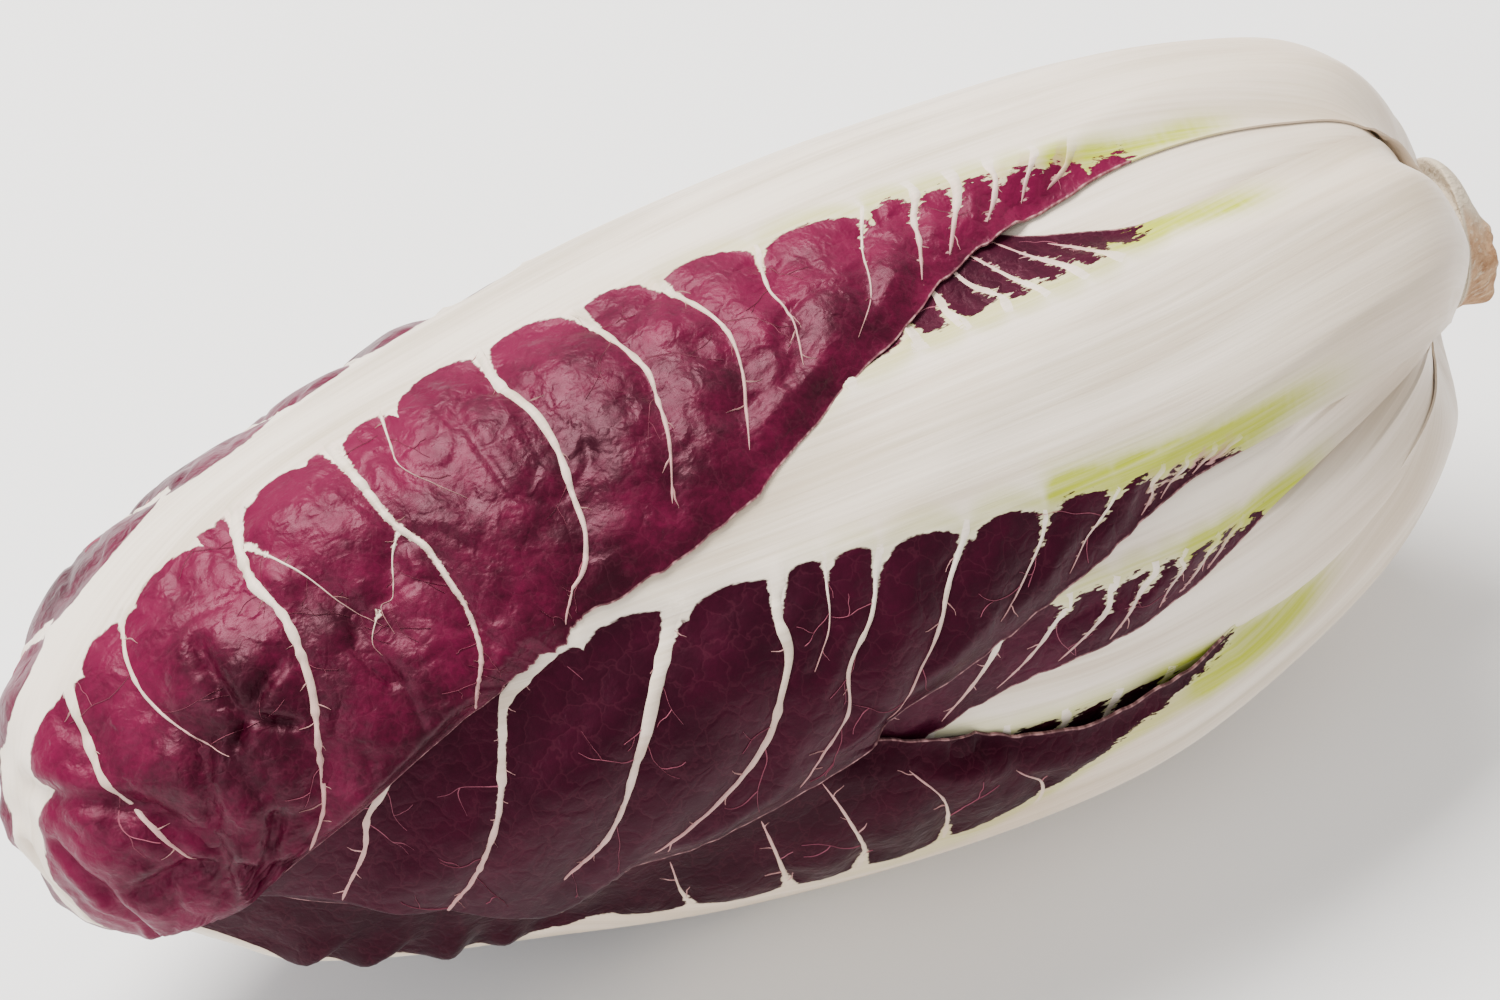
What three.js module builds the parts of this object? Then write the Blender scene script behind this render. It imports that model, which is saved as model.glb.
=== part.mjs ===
import * as THREE from 'three';

// A long radicchio head lying on its side, in millimetres, +Z up.
// The root end points along +X, the leaf tips along -X, and the head rests on a flat spot at z = 0.
// Every leaf lies on one rounded envelope. Leaf 1 is the outermost, and each later leaf lies deeper by
// the leaves that cover it. A spot on the envelope is given by its arc length from the root collar,
// in millimetres, and by its turn round the axis, in degrees: 0 is up, 90 faces -Y, 180 is down.

const ROOT_X = 81.3;
const AXIS_HEIGHT = 42.6;

// Envelope: distance along the axis, radius. It starts at the collar, where the leaves meet the stem.
const ENVELOPE = [
  [-5.5, 9.2], [-3.3, 13], [-1, 17], [1.5, 20.5], [5, 24.1], [10, 28.1], [18, 32.2], [30, 36.2],
  [45, 39.1], [60, 40.2], [80, 39.7], [100, 37.6], [120, 34.1], [135, 30.7], [148, 26.8], [158, 22.6],
  [167, 17], [173, 10.8], [176.4, 0],
];
// The axis sags a little: distance along the axis, rise.
const AXIS_RISE = [[0, 0], [7, 2.9], [18, 1.7], [45, -2.6], [60, -3.2], [100, -1.5], [148, 1.5], [174, 0.5]];
const SPRING_LENGTH = 10;      // the leaves spring straight out of the stem, then turn along the head

// The leaf bases sit askew on the stem: they reach further out at one turn and less far opposite it.
const ROOT_TILT = 0.18;
const ROOT_TILT_TURN = -40;
const ROOT_TILT_LENGTH = 40;

// The blades bulge behind the top rib: distance along the axis, how far; then the turn and its spread.
const SHOULDER = [[105, 0], [130, 1.0], [150, 2.0], [165, 1.8], [176, 0]];
const SHOULDER_TURN = -72;
const SHOULDER_SPREAD = 28;

// Flat spot that the head rests on. The belly sags a little: distance along the axis, drop.
const BELLY_DROP = [[0, 0], [30, 1], [60, 2], [88, 3.4], [110, 2.6], [150, 0]];
const BELLY_HALF_ANGLE = 50;
const BELLY_SOFTNESS = 0.8;
const BELLY_REACH = 3;
const BELLY_FADE = 15;

// From the hinge on, a leaf's cross lines fan out round the tip, so that it can fold over it. Distances
// along a leaf are counted so that the hinge is at HINGE_DISTANCE.
const HINGE_AT = 120;
const HINGE_DISTANCE = 134.5;
const QUARTER_TURN_LENGTH = 70;

// Leaf blades and the room round them.
const BLADE = 0.9;
const LAYER_GAP = [[0, 0.5], [60, 0.7], [150, 0.7], [200, 1.1]];
const BLADE_SINK = 1.0;        // the blade lies this much lower than its white rib
const RIB_SHOULDER = 1.25;     // the rib thins out to the blade at this many of its half widths
const VEIN_LIFT = 0.7;         // every second row of the blade is a side vein
const COVER_MARGIN = 8;        // a leaf keeps the leaves below it down for this far past its edge
const COVER_RAMP = 10;
const EDGE_WAVE = 0.8;
const EDGE_WAVE_BAND = 0.3;    // share of each half of the blade that waves with the edge
const COVERED_DEPTH = 1.5;     // a leaf that lies this deep is pressed flat
const EDGE_TOOTH = 0.02;
const TOOTH_START = 50;
const TOOTH_RAMP = 30;
const ROW_EASE = 0.45;         // how much closer the rows lie at both ends of a leaf
const FIELD_STEP = 4;
const FIELD_TURN = 5;
const SAMPLE_STEP = 3;
const SAMPLE_RADIUS = 40;

// Stem, from the cut face inwards: distance along the axis, radius, how far its crown
// swells under the tilted leaf bases, and how far the stub has bent down and to the front.
const STEM_OUTLINE = [
  [-12.2, 3.2, 0, 1], [-11.4, 4.9, 0, 1], [-9.8, 5.5, 1.8, 0.9], [-8, 6.5, 3.6, 0.4], [-6, 7.8, 2.6, 0],
  [-5.7, 7.8, 0, 0], [2, 7.7, 0, 0], [10.2, 6.4, 0, 0], [17, 4.5, 0, 0],
];
const STUB_FRONT = 1.5;
const STUB_DROP = 2.5;
const STEM_CUT_RISE = 0.4;
const STEM_TIP_RISE = 0.8;
const STEM_SIDES = 22;
const CUT_ROWS = 2;            // rows of the outline that have the rough form of the cut
const CUT_LOBES = 0.06;
const CUT_NOTCHES = 0.04;
const CUT_SLANT = 0.9;

const HEART_START = 38;
const HEART_END = 190;
const HEART_TIP_DROP = 3;
const HEART_BASE = 19.5;
const HEART_LEAVES = 5;
const HEART_RELIEF = 1.6;
const HEART_TWIST = 0.5;       // degrees for each millimetre along the head
const HEART_CLEARANCE = 1.6;
const HEART_ROWS = 22;
const HEART_COLUMNS = 30;

const WINE = 0x6e1736;
const DARK_WINE = 0x4a1a2c;
const TAN = 0xcda98c;

// Tables below: distance along the leaf, then the value there.
// rib: half width of the white midrib, in degrees, and lowRib the same on the side of the smaller angle
// where it differs. low and high: the leaf's edges on the side of the smaller and of the larger angle,
// in degrees from the midrib. thick: thickness of the midrib.
const THICK_OUTER = [
  [0, 1.8], [15, 3.0], [35, 4.8], [70, 4.4], [110, 3.2], [150, 2.2], [190, 1.5], [225, 1.2],
];
const THICK_INNER = [
  [0, 1.6], [15, 2.2], [35, 3.2], [70, 3.0], [110, 2.3], [150, 1.6], [190, 1.2], [215, 1.1],
];

const LEAVES = [
  {
    name: 'leaf_1_top', turn: -33, length: 222, rows: 28, columns: 14, thick: THICK_OUTER,
    rib: [[0, 40], [20, 36], [64, 31], [99, 24], [131, 17], [150, 20], [178, 13], [198, 6], [222, 3]],
    lowRib: [[0, 40], [20, 36], [64, 30], [99, 22], [120, 14], [150, 9], [178, 7], [198, 4], [222, 3]],
    high: [[0, 42], [25, 36], [50, 34], [66, 37], [74, 40], [83, 46], [93, 52], [103, 59], [115, 68],
      [130, 75], [156, 78], [191, 72], [205, 60], [213, 46], [219, 24], [222, 9]],
    low: [[0, 42], [25, 37], [58, 37], [80, 48], [100, 60], [130, 72], [156, 74], [185, 66], [205, 50],
      [216, 30], [222, 9]],
  },
  {
    name: 'leaf_2_front', turn: 38, length: 205, rows: 26, columns: 14, thick: THICK_OUTER,
    rib: [[0, 34], [30, 25], [50, 22], [62, 18], [73, 15.5], [81, 14], [94, 12], [106, 10], [129, 8.5],
      [150, 7], [180, 5], [205, 3]],
    lowRib: [[0, 34], [30, 25], [50, 23], [66, 20.5], [90, 19.5], [100, 17], [129, 12], [150, 8], [180, 6],
      [205, 3]],
    low: [[0, 36], [30, 26], [55, 24], [66, 29], [75, 36], [100, 50], [134, 62], [165, 58], [190, 42],
      [205, 8]],
    high: [[0, 36], [30, 25], [56, 19.5], [65, 20], [72, 23], [83, 29], [93, 36], [101, 41], [108, 47],
      [116, 53], [127, 61], [140, 67], [163, 72], [174, 66], [181, 52], [188, 38], [205, 8]],
  },
  {
    name: 'leaf_3_underside', turn: 137, length: 205, rows: 26, columns: 14, thick: THICK_OUTER,
    rib: [[0, 44], [30, 40], [60, 35], [72, 35], [90, 25], [108, 21], [126, 17], [140, 10], [160, 6],
      [205, 3]],
    lowRib: [[0, 44], [30, 41], [60, 37], [70, 36], [80, 31], [95, 29], [120, 28], [131, 25], [139, 15],
      [147, 5], [160, 2], [205, 1.5]],
    low: [[0, 52], [30, 51], [38, 48], [48, 47], [61, 47.5], [69, 44], [78, 42], [88, 44], [98, 49],
      [108, 52], [130, 54], [150, 51], [170, 44], [188, 31], [205, 8]],
    high: [[0, 44], [30, 42], [52, 44], [75, 58], [100, 70], [134, 74], [165, 66], [190, 44], [205, 8]],
  },
  {
    name: 'leaf_4_back', turn: -122, length: 203, rows: 26, columns: 14, thick: THICK_OUTER,
    rib: [[0, 42], [30, 38], [62, 33], [92, 26], [120, 19], [150, 15], [180, 9], [203, 4]],
    low: [[0, 44], [30, 40], [56, 38], [76, 47], [100, 60], [134, 70], [165, 64], [185, 46], [197, 26],
      [203, 8]],
    high: [[0, 44], [30, 39], [56, 36], [80, 46], [104, 55], [134, 63], [165, 58], [185, 44], [197, 26],
      [203, 8]],
  },
  {
    name: 'leaf_5_back_low', turn: 188, length: 192, rows: 22, columns: 12, thick: THICK_INNER,
    rib: [[0, 34], [30, 26], [60, 22], [90, 17], [120, 13], [150, 10], [190, 4]],
    low: [[0, 36], [30, 28], [56, 28], [80, 42], [110, 56], [134, 62], [160, 55], [182, 32], [192, 8]],
    high: [[0, 36], [30, 28], [56, 28], [80, 42], [110, 56], [134, 62], [160, 55], [182, 32], [192, 8]],
  },
  {
    name: 'leaf_6_back_high', turn: -78, length: 190, rows: 22, columns: 12, thick: THICK_INNER,
    rib: [[0, 34], [30, 26], [60, 22], [90, 17], [120, 13], [150, 10], [190, 4]],
    low: [[0, 36], [30, 28], [54, 28], [78, 40], [110, 54], [134, 60], [160, 52], [181, 30], [190, 8]],
    high: [[0, 36], [30, 28], [56, 28], [80, 42], [110, 54], [134, 60], [160, 52], [181, 30], [190, 8]],
  },
  {
    name: 'leaf_7_front_low', turn: 58, length: 180, rows: 22, columns: 12, thick: THICK_INNER,
    rib: [[0, 18], [30, 13], [60, 12], [80, 11], [110, 9], [150, 6], [180, 3]],
    low: [[0, 20], [30, 15], [58, 15], [80, 26], [110, 44], [134, 50], [156, 42], [172, 24], [180, 8]],
    high: [[0, 20], [30, 12], [52, 12], [66, 18], [76, 22], [89, 25], [96, 30], [110, 40], [134, 48],
      [156, 42], [172, 24], [180, 8]],
  },
  {
    name: 'leaf_8_front_lowest', turn: 77, length: 176, rows: 22, columns: 12, thick: THICK_INNER,
    rib: [[0, 20], [30, 14], [46, 13], [60, 12], [72, 11], [96, 11], [120, 9], [150, 5], [176, 3]],
    low: [[0, 22], [30, 14], [58, 15], [80, 26], [110, 42], [134, 46], [152, 38], [168, 22], [176, 8]],
    high: [[0, 26], [30, 21], [46, 19], [60, 28], [80, 34], [95, 38], [134, 46], [152, 38], [168, 22],
      [176, 8]],
  },
  {
    name: 'leaf_9_front_high', turn: 3, length: 178, rows: 22, columns: 12, thick: THICK_INNER,
    rib: [[0, 24], [30, 20], [60, 17], [90, 13], [120, 10], [150, 6], [178, 3]],
    low: [[0, 26], [30, 22], [56, 22], [80, 34], [110, 46], [134, 50], [154, 42], [170, 24], [178, 8]],
    high: [[0, 26], [30, 22], [56, 22], [80, 34], [110, 46], [134, 50], [154, 42], [170, 24], [178, 8]],
  },
];

const radians = THREE.MathUtils.degToRad;
const degrees = THREE.MathUtils.radToDeg;
const clamp = THREE.MathUtils.clamp;
const lerp = THREE.MathUtils.lerp;

function smooth(value) {
  const t = clamp(value, 0, 1);
  return t * t * (3 - 2 * t);
}

// Value at x on the smooth curve through a table's points.
function along(table, x) {
  const last = table.length - 1;
  const held = clamp(x, table[0][0], table[last][0]);
  let i = 0;
  while (table[i + 1][0] < held) {
    i += 1;
  }
  const slope = (k) => {
    const before = table[Math.max(k - 1, 0)];
    const after = table[Math.min(k + 1, last)];
    return (after[1] - before[1]) / (after[0] - before[0]);
  };
  const span = table[i + 1][0] - table[i][0];
  const t = (held - table[i][0]) / span;
  const t2 = t * t;
  const t3 = t2 * t;
  return (2 * t3 - 3 * t2 + 1) * table[i][1] + (t3 - 2 * t2 + t) * span * slope(i)
    + (3 * t2 - 2 * t3) * table[i + 1][1] + (t3 - t2) * span * slope(i + 1);
}

// Envelope as even samples of its length: distance along the axis, radius and outward normal.
const ARC_SAMPLES = 600;
const profileCurve = new THREE.CatmullRomCurve3(ENVELOPE.map(([q, r]) => new THREE.Vector3(q, r, 0)));
profileCurve.arcLengthDivisions = 2000;
const PROFILE_LENGTH = profileCurve.getLength();
const profile = [];
for (let i = 0; i <= ARC_SAMPLES; i += 1) {
  const spot = profileCurve.getPointAt(i / ARC_SAMPLES);
  const tangent = profileCurve.getTangentAt(i / ARC_SAMPLES);
  const sideways = tangent.x * smooth((i / ARC_SAMPLES) * PROFILE_LENGTH / SPRING_LENGTH);
  const size = Math.hypot(sideways, tangent.y);
  profile.push({ q: spot.x, r: Math.max(spot.y, 0), nq: -tangent.y / size, nr: sideways / size });
}

// Share of the profile's length at which a falling or rising quantity of it reaches a value.
function shareWhere(quantity, value) {
  let low = 0;
  let high = ARC_SAMPLES;
  while (high - low > 1) {
    const middle = (low + high) >> 1;
    if (quantity(profile[middle]) < value) {
      low = middle;
    } else {
      high = middle;
    }
  }
  const a = quantity(profile[low]);
  const b = quantity(profile[high]);
  return (low + (value - a) / (b - a)) / ARC_SAMPLES;
}
const COLLAR = HINGE_DISTANCE - shareWhere((spot) => spot.q, HINGE_AT) * PROFILE_LENGTH;
const TIP = COLLAR + PROFILE_LENGTH;

function onProfile(arc) {
  const x = clamp((arc - COLLAR) / PROFILE_LENGTH, 0, 1) * ARC_SAMPLES;
  const i = Math.min(Math.floor(x), ARC_SAMPLES - 1);
  const a = profile[i];
  const b = profile[i + 1];
  const t = x - i;
  return { q: lerp(a.q, b.q, t), r: lerp(a.r, b.r, t), nq: lerp(a.nq, b.nq, t), nr: lerp(a.nr, b.nr, t) };
}

const towardsTip = (spot) => Math.atan2(spot.q - HINGE_AT, spot.r);

// Turn measured from another one, from -180 to 180.
function turnFrom(middle, turn) {
  return (((turn - middle + 180) % 360) + 360) % 360 - 180;
}
function shoulder(spot, turn) {
  return along(SHOULDER, spot.q) * Math.exp(-((turnFrom(SHOULDER_TURN, turn) / SHOULDER_SPREAD) ** 2));
}
// How far a spot is moved along the head by the tilt of the leaf bases.
function rootShift(arc, turn, radius) {
  const share = 1 - smooth((arc - COLLAR) / ROOT_TILT_LENGTH);
  return ROOT_TILT * share * radius * Math.cos(radians(turn - ROOT_TILT_TURN));
}
function bellyDrop(spot, turn) {
  const offBottom = Math.abs(turnFrom(180, turn));
  return along(BELLY_DROP, spot.q) * (1 - smooth(offBottom / BELLY_HALF_ANGLE));
}
function skinHeight(spot, turn) {
  const up = (spot.r + shoulder(spot, turn)) * Math.cos(radians(turn));
  return AXIS_HEIGHT + along(AXIS_RISE, spot.q) + up - bellyDrop(spot, turn);
}

// The height at which the skin comes to rest: never below the floor, with a soft bend into it.
function rested(skin) {
  if (skin < -BELLY_SOFTNESS) {
    return 0;
  }
  if (skin < BELLY_SOFTNESS) {
    return (skin + BELLY_SOFTNESS) ** 2 / (4 * BELLY_SOFTNESS);
  }
  return skin;
}

// Place in space of a spot of the envelope, sunk by depth along the normal.
function place(arc, turn, depth) {
  const spot = onProfile(arc);
  const axisHeight = AXIS_HEIGHT + along(AXIS_RISE, spot.q);
  const up = Math.cos(radians(turn));
  const side = Math.sin(radians(turn));
  const radius = spot.r + shoulder(spot, turn) - depth * spot.nr;
  const drop = bellyDrop(spot, turn);
  const skin = skinHeight(spot, turn);
  const push = (rested(skin) - skin - drop) * Math.exp(-depth / BELLY_FADE);
  return new THREE.Vector3(
    ROOT_X - spot.q + depth * spot.nq + rootShift(arc, turn, radius),
    -radius * side,
    axisHeight + radius * up + push,
  );
}

// Leaf coordinates, distance and degrees from the midrib, to a spot of the envelope.
function toEnvelope(leaf, distance, angle) {
  if (distance <= HINGE_DISTANCE) {
    return [distance, leaf.turn + angle];
  }
  const fold = (distance - HINGE_DISTANCE) / QUARTER_TURN_LENGTH * Math.PI / 2;
  const a = radians(angle);
  const forward = Math.cos(a) * Math.sin(fold);
  const turn = Math.atan2(Math.sin(a), Math.cos(a) * Math.cos(fold));
  const arc = COLLAR + shareWhere(towardsTip, Math.asin(forward)) * PROFILE_LENGTH;
  return [arc, leaf.turn + degrees(turn)];
}

// The other way: a spot of the envelope to leaf coordinates.
function toLeaf(leaf, arc, turn) {
  const off = turnFrom(leaf.turn, turn);
  if (arc <= HINGE_DISTANCE) {
    return [arc, off];
  }
  const lean = towardsTip(onProfile(arc));
  const up = Math.cos(lean) * Math.cos(radians(off));
  const fold = Math.atan2(Math.sin(lean), up);
  const angle = Math.asin(Math.cos(lean) * Math.sin(radians(off)));
  return [HINGE_DISTANCE + fold / (Math.PI / 2) * QUARTER_TURN_LENGTH, degrees(angle)];
}

function ribShare(leaf, distance, angle) {
  const rib = angle < 0 && leaf.lowRib ? leaf.lowRib : leaf.rib;
  return 1 - smooth(Math.abs(angle) / (RIB_SHOULDER * along(rib, distance)));
}
function thickness(leaf, distance, angle) {
  return lerp(BLADE, along(leaf.thick, distance), ribShare(leaf, distance, angle));
}
function slot(leaf, distance, angle) {
  const share = ribShare(leaf, distance, angle);
  return BLADE_SINK * (1 - share) + thickness(leaf, distance, angle) + along(LAYER_GAP, distance);
}

// A field over the envelope holds one number for each step of arc and turn.
const FIELD_ROWS = Math.ceil(PROFILE_LENGTH / FIELD_STEP);
const FIELD_COLUMNS = 360 / FIELD_TURN;
function fieldOf(rule) {
  const field = [];
  for (let i = 0; i <= FIELD_ROWS; i += 1) {
    for (let j = 0; j < FIELD_COLUMNS; j += 1) {
      field.push(rule(i, j));
    }
  }
  return field;
}
function readField(field, arc, turn) {
  const x = clamp((arc - COLLAR) / FIELD_STEP, 0, FIELD_ROWS);
  const y = (((turn % 360) + 360) % 360) / FIELD_TURN;
  const i = Math.min(Math.floor(x), FIELD_ROWS - 1);
  const j = Math.floor(y) % FIELD_COLUMNS;
  const k = (j + 1) % FIELD_COLUMNS;
  const v = y - Math.floor(y);
  const near = lerp(field[i * FIELD_COLUMNS + j], field[i * FIELD_COLUMNS + k], v);
  const far = lerp(field[(i + 1) * FIELD_COLUMNS + j], field[(i + 1) * FIELD_COLUMNS + k], v);
  return lerp(near, far, x - i);
}

// How firmly a leaf covers each spot: 1 under it and close round it, fading to 0 further out.
const fieldSpots = fieldOf((i, j) => place(COLLAR + i * FIELD_STEP, j * FIELD_TURN, 0));
function coverField(leaf) {
  const samples = [];
  for (let distance = COLLAR; distance <= leaf.length; distance += SAMPLE_STEP) {
    const low = -along(leaf.low, distance);
    const high = along(leaf.high, distance);
    const count = Math.ceil(radians(high - low) * SAMPLE_RADIUS / SAMPLE_STEP);
    for (let n = 0; n <= count; n += 1) {
      const [arc, turn] = toEnvelope(leaf, distance, lerp(low, high, n / count));
      samples.push(place(arc, turn, 0));
    }
  }
  return fieldOf((i, j) => {
    const spot = fieldSpots[i * FIELD_COLUMNS + j];
    let nearest = Infinity;
    for (const sample of samples) {
      nearest = Math.min(nearest, sample.distanceToSquared(spot));
    }
    return 1 - smooth((Math.sqrt(nearest) - COVER_MARGIN) / COVER_RAMP);
  });
}

// Depth of each leaf, and of the heart below them all.
let depth = fieldOf(() => 0);
for (const leaf of LEAVES) {
  leaf.depth = depth;
  const cover = coverField(leaf);
  depth = fieldOf((i, j) => {
    const here = i * FIELD_COLUMNS + j;
    const [distance, angle] = toLeaf(leaf, COLLAR + i * FIELD_STEP, j * FIELD_TURN);
    return leaf.depth[here] + cover[here] * slot(leaf, distance, angle);
  });
}
const heartDepth = depth;

function closedMesh(name, points, faces, material) {
  let volume = 0;
  for (const [a, b, c] of faces) {
    volume += points[a].dot(points[b].clone().cross(points[c]));
  }
  const turned = volume > 0 ? faces : faces.map(([a, b, c]) => [a, c, b]);
  const geometry = new THREE.BufferGeometry();
  geometry.setAttribute('position', new THREE.Float32BufferAttribute(points.flatMap((p) => p.toArray()), 3));
  geometry.setIndex(turned.flat());
  geometry.computeVertexNormals();
  const mesh = new THREE.Mesh(geometry, material);
  mesh.name = name;
  return mesh;
}

function makeLeaf(leaf) {
  const material = new THREE.MeshStandardMaterial({
    color: leaf.thick === THICK_OUTER ? WINE : DARK_WINE, roughness: 0.5, metalness: 0,
  });
  const { rows, columns, length } = leaf;
  const points = [];
  const spot = (i, j, inside) => (i * (columns + 1) + j) * 2 + (inside ? 1 : 0);
  for (let i = 0; i <= rows; i += 1) {
    const t = i / rows;
    const distance = lerp(COLLAR, length, lerp(t, smooth(t), ROW_EASE));
    const tooth = 1 + EDGE_TOOTH * (i % 2 ? 1 : -1) * smooth((distance - TOOTH_START) / TOOTH_RAMP);
    for (let j = 0; j <= columns; j += 1) {
      const across = j / columns * 2 - 1;
      const edge = across < 0 ? along(leaf.low, distance) : along(leaf.high, distance);
      const angle = across * edge * (Math.abs(across) === 1 ? tooth : 1);
      const [arc, turn] = toEnvelope(leaf, distance, angle);
      const base = readField(leaf.depth, arc, turn);
      const offFloor = smooth((skinHeight(onProfile(arc), turn) + BELLY_SOFTNESS) / BELLY_REACH);
      const blade = (1 - ribShare(leaf, distance, angle)) * offFloor;
      const uncovered = 1 - smooth(base / COVERED_DEPTH);
      const vein = VEIN_LIFT * (i % 2) * blade;
      const nearEdge = smooth((Math.abs(across) - 1) / EDGE_WAVE_BAND + 1);
      const wave = i % 4 < 2 ? EDGE_WAVE * nearEdge * blade * Math.cos(radians(angle)) : 0;
      const outer = base + BLADE_SINK * blade - vein - wave * uncovered;
      points.push(place(arc, turn, outer));
      points.push(place(arc, turn, outer + thickness(leaf, distance, angle)));
    }
  }
  const faces = [];
  const quad = (a, b, c, d) => faces.push([a, b, c], [a, c, d]);
  for (let i = 0; i < rows; i += 1) {
    for (let j = 0; j < columns; j += 1) {
      quad(spot(i, j), spot(i + 1, j), spot(i + 1, j + 1), spot(i, j + 1));
      quad(spot(i, j + 1, true), spot(i + 1, j + 1, true), spot(i + 1, j, true), spot(i, j, true));
    }
    quad(spot(i, 0), spot(i, 0, true), spot(i + 1, 0, true), spot(i + 1, 0));
    quad(spot(i + 1, columns), spot(i + 1, columns, true), spot(i, columns, true), spot(i, columns));
  }
  for (let j = 0; j < columns; j += 1) {
    quad(spot(0, j + 1), spot(0, j + 1, true), spot(0, j, true), spot(0, j));
    quad(spot(rows, j), spot(rows, j, true), spot(rows, j + 1, true), spot(rows, j + 1));
  }
  return closedMesh(leaf.name, points, faces, material);
}

// Heart: the packed inner leaves, as overlapping steps that twist round a smaller core.
function makeHeart() {
  const material = new THREE.MeshStandardMaterial({ color: DARK_WINE, roughness: 0.6, metalness: 0 });
  const points = [new THREE.Vector3(ROOT_X - HEART_BASE, 0, AXIS_HEIGHT)];
  for (let i = 0; i < HEART_ROWS; i += 1) {
    const arc = lerp(HEART_START, HEART_END, i / (HEART_ROWS - 1));
    for (let j = 0; j < HEART_COLUMNS; j += 1) {
      const turn = j * 360 / HEART_COLUMNS;
      const step = ((turn + arc * HEART_TWIST) / 360 * HEART_LEAVES) % 1;
      const relief = HEART_RELIEF * step * Math.sin(Math.PI * i / HEART_ROWS);
      points.push(place(arc, turn, readField(heartDepth, arc, turn) + HEART_CLEARANCE + relief));
    }
  }
  points.push(place(TIP, 0, readField(heartDepth, TIP, 0) + HEART_CLEARANCE + HEART_TIP_DROP));
  const faces = [];
  const at = (i, j) => 1 + i * HEART_COLUMNS + (j % HEART_COLUMNS);
  for (let j = 0; j < HEART_COLUMNS; j += 1) {
    faces.push([0, at(0, j), at(0, j + 1)]);
    for (let i = 0; i < HEART_ROWS - 1; i += 1) {
      faces.push([at(i, j), at(i + 1, j), at(i + 1, j + 1)], [at(i, j), at(i + 1, j + 1), at(i, j + 1)]);
    }
    faces.push([at(HEART_ROWS - 1, j), points.length - 1, at(HEART_ROWS - 1, j + 1)]);
  }
  return closedMesh('heart', points, faces, material);
}

// Stem: the cut root end outside the collar, and the taper inside that the leaves grow round.
function makeStem() {
  const material = new THREE.MeshStandardMaterial({ color: TAN, roughness: 0.85, metalness: 0 });
  const last = STEM_OUTLINE.length - 1;
  const cutFace = ROOT_X - STEM_OUTLINE[0][0] + STEM_CUT_RISE;
  const points = [new THREE.Vector3(cutFace, -STUB_FRONT, AXIS_HEIGHT - STUB_DROP)];
  STEM_OUTLINE.forEach(([q, radius, crown, bend], row) => {
    const rough = row < CUT_ROWS ? 1 : 0;
    for (let j = 0; j < STEM_SIDES; j += 1) {
      const turn = j / STEM_SIDES * 2 * Math.PI;
      const lobes = CUT_LOBES * Math.sin(3 * turn + row) + CUT_NOTCHES * Math.sin(7 * turn);
      const swell = crown * Math.max(0, Math.cos(turn - radians(ROOT_TILT_TURN))) ** 2;
      const size = radius * (1 + rough * lobes) + swell;
      const slant = rough * CUT_SLANT * Math.sin(2 * turn + 1) + rootShift(COLLAR, degrees(turn), size);
      const side = -size * Math.sin(turn) - bend * STUB_FRONT;
      const height = AXIS_HEIGHT + size * Math.cos(turn) - bend * STUB_DROP;
      points.push(new THREE.Vector3(ROOT_X - q + slant, side, height));
    }
  });
  points.push(new THREE.Vector3(ROOT_X - STEM_OUTLINE[last][0] - STEM_TIP_RISE, 0, AXIS_HEIGHT));
  const faces = [];
  const at = (i, j) => 1 + i * STEM_SIDES + (j % STEM_SIDES);
  for (let j = 0; j < STEM_SIDES; j += 1) {
    faces.push([0, at(0, j + 1), at(0, j)]);
    for (let i = 0; i < last; i += 1) {
      faces.push([at(i, j), at(i, j + 1), at(i + 1, j)], [at(i, j + 1), at(i + 1, j + 1), at(i + 1, j)]);
    }
    faces.push([at(last, j), at(last, j + 1), points.length - 1]);
  }
  return closedMesh('stem', points, faces, material);
}

const head = new THREE.Group();
head.add(makeStem());
for (const leaf of LEAVES) {
  head.add(makeLeaf(leaf));
}
head.add(makeHeart());

export default head;
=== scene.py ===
import math

import bpy
import numpy as np
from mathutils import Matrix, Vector, kdtree


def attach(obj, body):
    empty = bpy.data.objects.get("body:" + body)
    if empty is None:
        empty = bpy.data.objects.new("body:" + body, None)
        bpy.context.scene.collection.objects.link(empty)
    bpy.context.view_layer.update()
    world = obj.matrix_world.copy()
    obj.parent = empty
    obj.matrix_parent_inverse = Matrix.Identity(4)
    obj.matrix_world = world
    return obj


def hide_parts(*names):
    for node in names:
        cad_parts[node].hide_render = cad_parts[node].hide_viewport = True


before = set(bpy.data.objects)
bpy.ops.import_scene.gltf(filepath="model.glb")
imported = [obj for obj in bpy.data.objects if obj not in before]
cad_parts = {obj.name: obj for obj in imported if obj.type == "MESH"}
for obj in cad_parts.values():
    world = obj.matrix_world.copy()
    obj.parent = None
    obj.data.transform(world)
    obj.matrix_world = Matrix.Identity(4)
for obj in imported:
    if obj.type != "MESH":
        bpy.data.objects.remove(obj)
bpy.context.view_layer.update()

# Lengths below are in millimetres and angles in degrees, as the leaves were measured.
# MM turns a length into Blender's metres.
MM = 0.001
SEED = 7

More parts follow.
